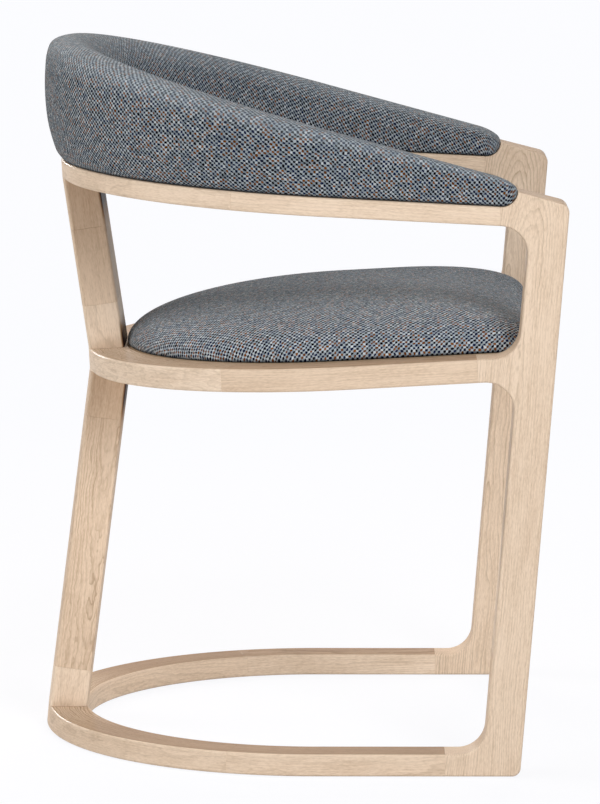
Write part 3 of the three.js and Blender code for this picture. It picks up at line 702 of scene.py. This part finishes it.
def leg_outline():
    """Side view of a leg: points, and for each the inward move of a rounded edge."""
    upright = math.pi / 2 + LEG_LEAN
    foot_front = np.array([LEG_FOOT, 0.0])
    foot_rear = np.array([LEG_FOOT + LEG_DEPTH / math.cos(LEG_LEAN), 0.0])
    head_front = crossing(foot_front, upright, (0, ARM.rise + HEAD_RISE), 0)
    floor_front = crossing(foot_front, upright, (0, BASE.rise), 0)
    nest_low = ARM.side(NEST_FRONT, ARM.height + NEST_RADIUS)
    nest_top = crossing(head_front, HEAD_SLOPE, nest_low, ARM.tilt + math.pi / 2)

    def hollow(chair_frame, z):
        end = chair_frame.side(chair_frame.front, z)
        return crossing(end, chair_frame.tilt, foot_rear, upright)

    # Each corner has a point, a radius and a kind, which says how its edge is rounded
    corners = []

    def sharp(point, kind):
        corners.append((point, 0.0, kind))

    def soft(point, radius):
        corners.append((point, radius, "side"))

    sharp(BASE.side(BASE.front, BASE.height), "end")
    sharp(BASE.side(BASE.front, 0), "end")
    soft(floor_front, FOOT_RADIUS)
    soft(head_front, HEAD_RADIUS)
    sharp(nest_top, "nest")
    for angle in arc_steps(math.pi, 1.5 * math.pi, 10):
        y = NEST_FRONT + NEST_RADIUS + NEST_RADIUS * math.cos(angle)
        z = ARM.height + NEST_RADIUS + NEST_RADIUS * math.sin(angle)
        sharp(ARM.side(y, z), "nest")
    sharp(ARM.side(ARM.front, ARM.height), "nest_end")
    sharp(ARM.side(ARM.front, 0), "end")
    soft(hollow(ARM, 0), HOLLOW_RADIUS)
    soft(hollow(SEAT, SEAT.height), HOLLOW_RADIUS)
    sharp(SEAT.side(SEAT.front, SEAT.height), "end")
    sharp(SEAT.side(SEAT.front, 0), "end")
    soft(hollow(SEAT, 0), HOLLOW_RADIUS)
    soft(hollow(BASE, BASE.height), HOLLOW_RADIUS)

    points, kinds = [], []
    plain = [(p[0], p[1], r) for p, r, _ in corners]
    for i, (_, radius, kind) in enumerate(corners):
        three = [plain[i - 1], plain[i], plain[(i + 1) % len(plain)]]
        if radius:
            loop = rounded_loop([(three[0][0], three[0][1], 0), three[1],
                                 (three[2][0], three[2][1], 0)], 14)[1:-1]
        else:
            loop = [np.array(plain[i][:2])]
        points += list(loop)
        kinds += [kind] * len(loop)
    points = np.array(points)
    moves = miters(points)
    for i, kind in enumerate(kinds):
        neighbour = i + 1 if kinds[(i + 1) % len(kinds)].endswith("end") else i - 1
        if kind.endswith("end"):
            way = points[neighbour % len(points)] - points[i]
            moves[i] = way / np.linalg.norm(way)
        if kind.startswith("nest"):
            moves[i] *= 0.25
    return points, moves


# The grain is measured from a height on the leg, and its rings arch from ARCH_START above that.
# The head's sloped top gets painted shade, browner than the sides, and the head's upper part gets
# painted shadow, more on the far leg.

GRAIN_HEIGHT = 300 * MM
ARCH_START = 110 * MM
HEAD_TOP_PAINTED_SHADE = 0.35
HEAD_TOP_REACH = 30 * MM
HEAD_PAINTED_SHADE_SPAN = (515 * MM, 560 * MM)


def build_legs():
    points, moves = leg_outline()
    count = len(points)
    around = np.roll(points, -1, 0) - np.roll(points, 1, 0)
    around /= np.linalg.norm(around, axis=1)[:, None]
    points_up = np.abs(around[:, 0]) * (points[:, 1] > points[:, 1].max() - HEAD_TOP_REACH)
    turns = arc_steps(0, math.pi / 2, 5)
    rows = [(EDGE_RADIUS * (1 - math.cos(a)), EDGE_RADIUS * (1 - math.sin(a))) for a in turns]
    rows += [(RAIL_WIDTH - x, inset) for x, inset in reversed(rows)]
    # Side, sign, seed, pith, lean, arch, tone, figure and the painted shadow on the head's upper
    # part
    for side, sign, seed, pith, lean, arch, tone, figure, head_shade in (
            ("left", 1, 53.0, (0.030, 0.049), -0.010, -0.5, 0.28, 0.70, 0.20),
            ("right", -1, 59.0, (0.036, -0.007), 0.010, 0.5, 0.31, 0.46, 0.05)):
        verts = []
        for x, inset in rows:
            outline = points + moves * inset
            verts.append(np.column_stack([
                np.full(count, sign * (HALF_WIDTH - x)), outline[:, 0] + SHIFT, outline[:, 1]]))
        verts = np.vstack(verts)
        faces = closed_faces(len(rows), count)
        if sign > 0:
            faces = [tuple(reversed(f)) for f in faces]
        y, z = verts[:, 1] - SHIFT - LEG_FOOT, verts[:, 2]
        across = y * math.cos(LEG_LEAN) + z * math.sin(LEG_LEAN)
        along = z * math.cos(LEG_LEAN) - y * math.sin(LEG_LEAN)
        thick = HALF_WIDTH - sign * verts[:, 0]
        arched = thick + arch * np.maximum(along - GRAIN_HEIGHT - ARCH_START, 0) ** 2
        # Painted shade on the head's top strip and painted shadow on its upper part
        rim = np.array([inset < EDGE_RADIUS / 2 for _, inset in rows])
        shades = np.outer(rim, points_up > 0.8).ravel() * HEAD_TOP_PAINTED_SHADE
        shades = np.maximum(shades, head_shade * smooth_step(verts[:, 2], *HEAD_PAINTED_SHADE_SPAN))
        add_oak(f"front_leg_{side}", verts, faces,
                grain(along - GRAIN_HEIGHT, across, arched, seed, pith, lean), tone=tone,
                figure=figure, wave=1.0, shade=shades)


# Front rail of the seat, between the legs

FRONT_RAIL_DEPTH = 32 * MM
FRONT_RAIL_SETBACK = 6 * MM


def build_front_rail():
    upright = math.pi / 2 + LEG_LEAN
    level = SEAT.side(0, SEAT.height / 2)
    front = crossing((LEG_FOOT, 0), upright, level, SEAT.tilt)[0] + FRONT_RAIL_SETBACK
    back = front + FRONT_RAIL_DEPTH
    small = 1.0 * MM
    section = rounded_loop([
        (front, 0, EDGE_RADIUS), (back + LEDGE_WIDTH, 0, small),
        (back + LEDGE_WIDTH, LEDGE_HEIGHT, small), (back, LEDGE_HEIGHT, 0),
        (back, SEAT.height, small), (front, SEAT.height, EDGE_RADIUS)])
    inner = section + miters(section) * GLUE_CHAMFER
    half = HALF_WIDTH - RAIL_WIDTH - GLUE_GAP
    rows = [(-half, inner), (-half + GLUE_CHAMFER, section)]
    rows += [(x, section) for x in arc_steps(-0.9 * half, 0.9 * half, 20)]
    rows += [(half - GLUE_CHAMFER, section), (half, inner)]
    count = len(section)
    verts = np.vstack([np.column_stack([np.full(count, x), outline]) for x, outline in rows])
    add_oak("seat_front_rail", SEAT.world(verts), closed_faces(len(rows), count),
            grain(verts[:, 0], verts[:, 1] - front, verts[:, 2], 61.0, (0.016, -0.055), 0.02),
            tone=0.3, figure=0.35, wave=0.0, shade=0.0)


# Rear post: six boards in two leaning rows

POST_EDGE_RADIUS = 3 * MM
POST_DEPTHS = (40.5 * MM, 38.5 * MM)
POST_GRAIN_HEIGHT = 200 * MM

# Painted shade: the sides are browner under the frame above and just over the frame below, and the
# lower row a little all along. The front is painted black as shadow under the frame above, and
# where the tuck is 2 also over the cushion's rear edge.

POST_PLAIN_PAINTED_SHADES = (0.09, 0.0)
POST_HEAD_PAINTED_SHADE = 0.55
POST_HEAD_PAINTED_SHADE_SPANS = ((-10 * MM, 120 * MM), (5 * MM, 155 * MM))
POST_FOOT_PAINTED_SHADE = 0.3
POST_FOOT_PAINTED_SHADE_REACH = 14 * MM
POST_PAINTED_BLACK_UNDER_SPAN = (15 * MM, 60 * MM)
POST_PAINTED_BLACK_OVER_SPAN = (8 * MM, 30 * MM)


def build_post():
    # Frames below and above, lengths of the end blocks, tuck (painted black shadow over the
    # cushion's rear edge) and the boards' names
    rows = (
        (BASE, SEAT, (43 * MM, 46 * MM), 0,
         ("base_post_block", "rear_post_lower", "seat_post_block_lower")),
        (SEAT, ARM, (44 * MM, 54 * MM), 2,
         ("seat_post_block_upper", "rear_post_upper", "arm_post_block")))
    # Seed, pith, lean, tone, figure and wave of each board, from the floor up
    looks = iter((
        (67.0, (0.020, 0.060), 0.04, 0.0, 0.30, 1.0),
        (71.0, (0.030, 0.016), 0.014, 0.48, 0.80, 1.8),
        (73.0, (0.030, 0.062), 0.02, 0.59, 0.35, 1.0),
        (79.0, (0.010, -0.050), 0.03, 0.15, 0.35, 1.0),
        (83.0, (0.000, 0.075), 0.02, 0.60, 0.35, 1.0),
        (89.0, (0.024, -0.060), 0.03, 0.50, 0.35, 1.0)))
    for (low, high, (low_block, high_block), tuck, names), depth, plain_shade, head_painted_shade_span in zip(
            rows, POST_DEPTHS, POST_PLAIN_PAINTED_SHADES, POST_HEAD_PAINTED_SHADE_SPANS):
        foot = low.side(post_outer(low), low.height)
        top = high.side(post_outer(high), 0)
        length = float(np.linalg.norm(top - foot))
        way = (top - foot) / length
        back = np.array([way[1], -way[0]])
        square = math.atan2(back[1], back[0])
        r, x, y = POST_EDGE_RADIUS, POST_WIDTH / 2, depth
        bow = post_bow(low)
        bowed = [(x * k / 10, -bow * (k / 10) ** 2, 0) for k in range(9, -10, -1)]
        section = rounded_loop([(-x, -y, r), (x, -y, r), (x, -bow, r), *bowed, (-x, -bow, r)])
        inner = section + miters(section) * GLUE_CHAMFER
        seams = [0, low_block, length - high_block, length]

        def level(outline, z, tilt):
            """Height along the row of an outline's points on a cut at a tilt to the floor."""
            return z + outline[:, 1] * math.tan(tilt - square)

        for i, name in enumerate(names):
            seed, pith, lean, tone, figure, wave = next(looks)
            tilt_low = low.tilt if i == 0 else square
            tilt_high = high.tilt if i == 2 else square
            z0, z1 = seams[i] + GLUE_GAP / 2, seams[i + 1] - GLUE_GAP / 2
            cuts = [(inner, z0, tilt_low), (section, z0 + GLUE_CHAMFER, tilt_low)]
            cuts += [(section, z0 + (z1 - z0) * k / 20, tilt_low + (tilt_high - tilt_low) * k / 20)
                     for k in range(2, 19)]
            cuts += [(section, z1 - GLUE_CHAMFER, tilt_high), (inner, z1, tilt_high)]
            verts, along, shades = [], [], []
            for outline, z, tilt in cuts:
                heights = level(outline, z, tilt)
                # Painted shade on the sides under and over the frames, and painted black shadow on
                # the front
                side_shade = POST_HEAD_PAINTED_SHADE + (plain_shade - POST_HEAD_PAINTED_SHADE) * smooth_step(
                    length - heights, *head_painted_shade_span)
                side_shade += POST_FOOT_PAINTED_SHADE * (
                    1 - smooth_step(heights, 0, POST_FOOT_PAINTED_SHADE_REACH))
                ahead = smooth_step(-outline[:, 1], depth - r, depth)
                painted_black = np.maximum(
                    2 - 2 * smooth_step(length - heights, *POST_PAINTED_BLACK_UNDER_SPAN),
                    tuck - tuck * smooth_step(heights, *POST_PAINTED_BLACK_OVER_SPAN))
                shades += list(side_shade * smooth_step(-outline[:, 1], bow, bow + r)
                               + painted_black * ahead)
                plane = foot + np.outer(outline[:, 1], back) + np.outer(heights, way)
                verts.append(np.column_stack([outline[:, 0], plane[:, 0] + SHIFT, plane[:, 1]]))
                along += list(heights)
            outlines = np.vstack([outline for outline, _, _ in cuts])
            values = grain(np.array(along) - POST_GRAIN_HEIGHT, -outlines[:, 1],
                           outlines[:, 0] + x, seed, pith, lean)
            add_oak(name, np.vstack(verts), closed_faces(len(cuts), len(section)), values,
                    tone=tone, figure=figure, wave=wave, shade=shades)


# Smooth curve through control points

def smooth_curve(points, per_span):
    """Centripetal Catmull-Rom curve through the points."""
    p = np.asarray(points, float)
    p = np.vstack([2 * p[0] - p[1], p, 2 * p[-1] - p[-2]])
    out = []
    for i in range(1, len(p) - 2):
        t = [0.0]
        for j in range(3):
            t.append(t[-1] + math.sqrt(np.linalg.norm(p[i + j] - p[i + j - 1])) + 1e-9)
        for k in range(per_span):
            s = t[1] + (t[2] - t[1]) * k / per_span
            a = [((t[j + 1] - s) * p[i - 1 + j] + (s - t[j]) * p[i + j]) / (t[j + 1] - t[j])
                 for j in range(3)]
            b = [((t[j + 2] - s) * a[j] + (s - t[j]) * a[j + 1]) / (t[j + 2] - t[j])
                 for j in range(2)]
            out.append(((t[2] - s) * b[0] + (s - t[1]) * b[1]) / (t[2] - t[1]))
    out.append(p[-2])
    return np.array(out)


# Back and arm pad

CLOTH_GAP = 0.3 * MM
PAD_FRONT_HEIGHT = 27.4 * MM
PAD_REAR_HEIGHT = 124 * MM
PAD_BULGE = 20.4 * MM
PAD_END_MIDDLE = NEST_FRONT + NEST_RADIUS
PAD_END_REACH = NEST_RADIUS - CLOTH_GAP
PAD_END_DRAW = 6 * MM
PAD_NOSE = 24 * MM
PAD_NOSE_POWER = 2.2
PAD_TUCK = 2.2 * MM
PAD_TUCK_HEIGHT = 15 * MM
PAD_PAINTED_SHEEN = 0.7
PAD_PAINTED_SHEEN_SPAN = (0.72, 0.96)
PAD_SHEEN_PAINTED_LIGHT = 0.45
PAD_PAINTED_LIGHT = 0.99
PAD_REAR_PAINTED_LIGHT = 0.10
PAD_REAR_PAINTED_LIGHT_SPAN = (90 * MM, 170 * MM)

# Section from the outer to the inner foot: share of the rail's width inwards, share of the bulge
# outwards and share of the height
PAD_SECTION = (
    (0.015, 0.02, 0.012), (0.0, 0.24, 0.06), (0.0, 0.47, 0.15), (0.0, 0.72, 0.28),
    (0.0, 0.88, 0.42), (0.0, 0.98, 0.58), (0.0, 1.0, 0.72), (0.0, 0.95, 0.86),
    (0.02, 0.78, 0.95), (0.13, 0.42, 0.995), (0.28, 0.16, 1.0), (0.46, 0.0, 0.965),
    (0.76, 0.0, 0.84), (0.95, -0.1, 0.62), (1.01, -0.15, 0.34), (1.01, -0.06, 0.12),
    (0.985, 0.0, 0.012),
)


def tuck_painted_shade(height, low):
    """How much cloth darkens at its foot, where it tucks in: painted shade in the crease."""
    return 0.2 + 0.8 * smooth_step(height, low, 3.5 * MM)


def pad_stations():
    """Plan stations (spot, outwards, turn of the nose) from the right arm's front to the left's."""
    half = [(PAD_END_MIDDLE - PAD_END_REACH * math.sin(turn), turn)
            for turn in arc_steps(math.pi / 2, 0, 14)[:-1]]
    half += [(y, 0.0) for y in arc_steps(PAD_END_MIDDLE, ARM.bend, 50)[:-1]]
    right, left = (
        [(np.array([side * HALF_WIDTH, y]), np.array([side, 0.0]), turn) for y, turn in half]
        for side in (-1.0, 1.0))
    bend = [(*ARM.bend_point(angle, 0), 0.0) for angle in arc_steps(0, math.pi, 190)]
    return right + bend + left[::-1]


def pad_height(y):
    share = (y - PAD_END_MIDDLE) / (ARM.bend + ARM.reach - PAD_END_MIDDLE)
    return PAD_FRONT_HEIGHT + (PAD_REAR_HEIGHT - PAD_FRONT_HEIGHT) * max(share, -0.1)


def pad_loop(y, turn):
    """Section of the pad at a station: outwards and up, from the middle of its foot round."""
    low = PAD_END_REACH * (1 - math.cos(turn))
    nose = min(1.0, (y - (PAD_END_MIDDLE - PAD_END_REACH)) / PAD_NOSE)
    rounding = (1 - (1 - nose) ** PAD_NOSE_POWER) ** (1 / PAD_NOSE_POWER) if nose < 1 else 1.0
    full = pad_height(y)
    top = PAD_END_REACH + (full - PAD_END_REACH) * rounding
    height = max(top - low, 0.0)
    bulge = PAD_BULGE * (full / PAD_REAR_HEIGHT) * rounding
    draw = PAD_END_DRAW * (1 - rounding)
    width = RAIL_WIDTH - 2 * draw
    control = [(-draw - inwards * width + outwards * bulge, up * height)
               for inwards, outwards, up in PAD_SECTION]
    tuck = PAD_TUCK * min(1.0, height / PAD_TUCK_HEIGHT)
    first, last = control[0], control[-1]
    control = [(first[0] - 1.6 * tuck, 0.0), (first[0] - 0.5 * tuck, 0.12 * tuck)] + control
    control += [(last[0] + 0.5 * tuck, 0.12 * tuck), (last[0] + 1.6 * tuck, 0.0)]
    curve = smooth_curve(control, 5)
    start = np.array([-draw - width / 2, 0.0])
    loop = np.vstack([start, (start + curve[0]) / 2, curve, (start + curve[-1]) / 2])
    return loop + np.array([0.0, low])


def build_pad():
    stations = pad_stations()
    spots, outs, _ = (np.array(column) for column in zip(*stations))
    middle = spots - outs * RAIL_WIDTH / 2
    along = lengths_along(middle)
    along -= along[-1] / 2
    foot = ARM.height + CLOTH_GAP
    verts, weave, painted_sheens = [], [], []
    for (spot, out, turn), place in zip(stations, along):
        loop = pad_loop(spot[1], turn)
        girth = lengths_along(loop)
        verts.append(np.column_stack([spot + out * loop[:, :1], loop[:, 1] + foot]))
        # Painted sheen on the pad's top
        painted_sheen = smooth_step(loop[:, 1] / loop[:, 1].max(), *PAD_PAINTED_SHEEN_SPAN)
        painted_sheens += list(PAD_PAINTED_SHEEN * painted_sheen)
        # Painted light and shade: darker in the crease at the foot, lighter on the raised top and
        # towards the rear
        fade = PAD_PAINTED_LIGHT * tuck_painted_shade(loop[:, 1], 0.5 * MM) * (1 + PAD_SHEEN_PAINTED_LIGHT * painted_sheen)
        fade = fade * (1 + PAD_REAR_PAINTED_LIGHT * smooth_step(spot[1], *PAD_REAR_PAINTED_LIGHT_SPAN))
        weave.append(np.column_stack([np.full(len(loop), place), -girth, fade]))
    pad = add_piece("back_pad", ARM.world(np.vstack(verts)),
                    closed_faces(len(verts), len(verts[0])), FABRIC,
                    ["back_cover", "back_foam"],
                    [("weave", "FLOAT_VECTOR", np.vstack(weave)), ("painted_sheen", "FLOAT", painted_sheens)],
                    crisp=False)


# Seat cushion

SEAT_FRONT = -226 * MM
SEAT_CROWN = 52 * MM
SEAT_CROWN_INSET = 190 * MM
SEAT_SPREAD = 215 * MM
SEAT_DOME_FOOT = 1.2 * MM
SEAT_DOME_POWERS = (1.15, 1.10, 1.13)
SEAT_EDGE_LEVELS = ((3.2 * MM, 0.0), (1.2 * MM, 0.2 * MM), (0.5 * MM, 1.0 * MM))
SEAT_CORNER_RADIUS = 30 * MM
SEAT_EDGE_GAP = 0.6 * MM
SEAT_PAINTED_LIGHT = 1.42
SEAT_CROWN_PAINTED_LIGHT = 0.08
SEAT_CROWN_PAINTED_LIGHT_SPAN = (0.7, 0.95)
SEAT_PAINTED_SHEEN = 0.2
SEAT_PAINTED_SHEEN_SPAN = (0.35, 0.85)
SEAT_WEAVE = 0.93


def seat_plan(inset):
    """Closed plan of the cushion at an inset: points and outward directions."""
    side = HALF_WIDTH - RAIL_WIDTH - inset
    front = SEAT_FRONT + inset
    radius = max(2 * MM, min(SEAT_CORNER_RADIUS, 0.8 * (SEAT.bend - front)))
    points, outs = [], []

    def add(point, out):
        points.append(np.array(point))
        outs.append(np.array(out))

    def corner(x, start):
        for angle in arc_steps(start, start + math.pi / 2, 16):
            out = np.array([math.cos(angle), -math.sin(angle)])
            add(np.array([x, front + radius]) + out * radius, out)

    for angle in arc_steps(0, math.pi, 120):
        add(*SEAT.bend_point(angle, RAIL_WIDTH + inset))
    for y in arc_steps(SEAT.bend, front + radius, 24)[1:-1]:
        add([side, y], [1.0, 0.0])
    corner(side - radius, 0)
    for x in arc_steps(side - radius, radius - side, 60)[1:-1]:
        add([x, front], [0.0, -1.0])
    corner(radius - side, math.pi / 2)
    for y in arc_steps(front + radius, SEAT.bend, 24)[1:-1]:
        add([-side, y], [-1.0, 0.0])
    return np.array(points), np.array(outs)


def seat_levels():
    """Insets and heights of the cushion's rows, from its crown down to its foot."""
    plan_power, height_power, end_power = SEAT_DOME_POWERS
    last_angle = math.acos((1 - SEAT_CROWN_INSET / SEAT_SPREAD) ** end_power)
    levels = list(SEAT_EDGE_LEVELS)
    for angle in arc_steps(0, last_angle, 44)[1:]:
        inset = SEAT_SPREAD * (1 - math.cos(angle) ** (1 / plan_power))
        rise = (SEAT_CROWN - SEAT_DOME_FOOT) * math.sin(angle) ** (1 / height_power)
        levels.append((inset, SEAT_DOME_FOOT + rise))
    return levels[::-1]


def build_cushion():
    foot = SEAT.height + CLOTH_GAP
    levels = seat_levels()
    verts, weave, painted_sheens = [], [], []
    # The slope makes the cloth longer than its plan, and the excess moves the weave outwards
    excess = 0.0
    before = levels[0]
    for inset, height in levels:
        run = before[0] - inset
        excess += math.hypot(run, before[1] - height) - abs(run)
        before = (inset, height)
        points, outs = seat_plan(SEAT_EDGE_GAP + inset)
        verts.append(np.column_stack([points, np.full(len(points), foot + height)]))
        flat = points + outs * excess
        # Painted light and shade: the cushion's cloth is lighter than the pad's, darker in the
        # crease at its foot and lighter on the crown
        fade = SEAT_PAINTED_LIGHT * tuck_painted_shade(height, 0.6 * MM)
        fade *= 1 + SEAT_CROWN_PAINTED_LIGHT * smooth_step(height / SEAT_CROWN, *SEAT_CROWN_PAINTED_LIGHT_SPAN)
        weave.append(np.column_stack([flat * SEAT_WEAVE, np.full(len(points), fade)]))
        # Painted sheen on the cushion's crown
        painted_sheens += [float(smooth_step(height / SEAT_CROWN, *SEAT_PAINTED_SHEEN_SPAN)) * SEAT_PAINTED_SHEEN] * len(points)
    faces = [tuple(reversed(f)) for f in closed_faces(len(verts), len(verts[0]))]
    cushion = add_piece("seat_cushion", SEAT.world(np.vstack(verts)), faces, FABRIC,
                        ["seat_cover", "seat_foam"],
                        [("weave", "FLOAT_VECTOR", np.vstack(weave)), ("painted_sheen", "FLOAT", painted_sheens)],
                        crisp=False)


# Solids that stay as they are and get a finish

def dress_solids():
    finishes = {"oak": OAK, "plywood": PLYWOOD, "steel": STEEL, "lining": LINING,
                "glide_plastic": GLIDE, "foam": PLYWOOD, "fabric": FABRIC}
    slots = {row["node"]: row["material_slot"] for row in frame["record"]["subparts"]}
    for name, node in frame["nodes"].items():
        node.data.materials.clear()
        node.data.materials.append(finishes[slots[name]])


# Floor, lights and world

BACKDROP = (0.972, 0.976, 1.0, 1)
NEAR_GLOW = 0.905


def floor_material():
    """The camera sees a white floor that catches a soft shadow. Light meets a plain one."""
    material, n = new_material("floor")
    x, y, _ = n.split(n.place())
    near = n.remap(n.hypot(x, y), 0.6, 2.2, 1.0, 0.0)
    glow = n.shader("ShaderNodeEmission", {
        "Color": BACKDROP, "Strength": n.remap(near, 0.0, 1.0, 1.0, NEAR_GLOW)})
    lit = n.shader("ShaderNodeBsdfDiffuse", {"Color": n.mix(near, (0.0,) * 3, (0.12,) * 3)})
    shown = n.shader("ShaderNodeAddShader", {0: glow, 1: lit})
    plain = n.shader("ShaderNodeBsdfDiffuse", {"Color": (0.80, 0.80, 0.80, 1)})
    n.show(n.shader("ShaderNodeMixShader", {0: n.seen(), 1: plain, 2: shown}))
    return material


def add_floor():
    half = 40.0
    mesh = bpy.data.meshes.new("floor")
    mesh.from_pydata([(-half, -half, 0), (half, -half, 0), (half, half, 0), (-half, half, 0)], [],
                     [(0, 1, 2, 3)])
    mesh.materials.append(floor_material())
    floor = bpy.data.objects.new("floor", mesh)
    bpy.context.scene.collection.objects.link(floor)


def add_world():
    world = bpy.data.worlds.new("world")
    n = Nodes(world, "ShaderNodeOutputWorld")
    soft = n.shader("ShaderNodeBackground", {"Color": (0.96, 0.98, 1.0, 1), "Strength": 0.10})
    white = n.shader("ShaderNodeBackground", {"Color": BACKDROP, "Strength": 1.0})
    n.show(n.shader("ShaderNodeMixShader", {0: n.seen(), 1: soft, 2: white}))
    bpy.context.scene.world = world


# Lights: name, azimuth (0 is the camera's side, 90 the chair's rear), elevation, size, power
# and colour

LIGHT_DISTANCE = 4.0
LIGHT_AIM = Vector((0.0, 0.0, 0.35))
BOX = (2.4, 2.4)
LIGHTS = (
    ("side", 0, 14, BOX, 16, WHITE), ("side_front", -25, 12, BOX, 36, (1.0, 0.99, 0.99)),
    ("side_rear", 52, 16, BOX, 30, WHITE), ("top", 0, 88, BOX, 18, WHITE),
    ("rear", 100, 38, BOX, 56, (1.0, 0.93, 0.86)),
    ("far_side", 180, 35, BOX, 80, (1.0, 0.86, 0.72)), ("key", -22, 33, (0.9, 0.9), 50, WHITE),
)
RIM = (157, 15, (1.8, 0.8), 80)
RIM_AIM = Vector((0.0, 0.2, 0.35))
FILL_PLACE = Vector((-0.23, -0.03, 0.30))
FILL_AIM = Vector((0.24, -0.03, 0.08))
FILL_SIZE = (0.3, 0.2)
FILL_POWER = 0.38


def around_chair(azimuth, elevation):
    around, up = math.radians(azimuth), math.radians(elevation)
    return LIGHT_AIM + LIGHT_DISTANCE * Vector((
        -math.cos(up) * math.cos(around), math.cos(up) * math.sin(around), math.sin(up)))


def add_light(name, place, aim, size, power, colour=WHITE):
    data = bpy.data.lights.new(name, "AREA")
    data.shape = "RECTANGLE"
    data.size, data.size_y = size
    data.energy = power
    data.color = colour
    light = bpy.data.objects.new(name, data)
    turn = (aim - place).to_track_quat("-Z", "Y").to_matrix().to_4x4()
    light.matrix_world = Matrix.Translation(place) @ turn
    bpy.context.scene.collection.objects.link(light)
    return light


def light_scene():
    for name, azimuth, elevation, size, power, colour in LIGHTS:
        add_light(name, around_chair(azimuth, elevation), LIGHT_AIM, size, power, colour)
    # The rim light only makes the bright streaks on the rings' upper edges
    azimuth, elevation, size, power = RIM
    rim = add_light("rim", around_chair(azimuth, elevation), RIM_AIM, size, power)
    rim.visible_diffuse = False
    fill = add_light("under_seat", FILL_PLACE, FILL_AIM, FILL_SIZE, FILL_POWER)
    fill.visible_camera = False


dress_solids()
build_frames()
build_legs()
build_front_rail()
build_post()
build_pad()
build_cushion()
add_floor()
add_world()
light_scene()
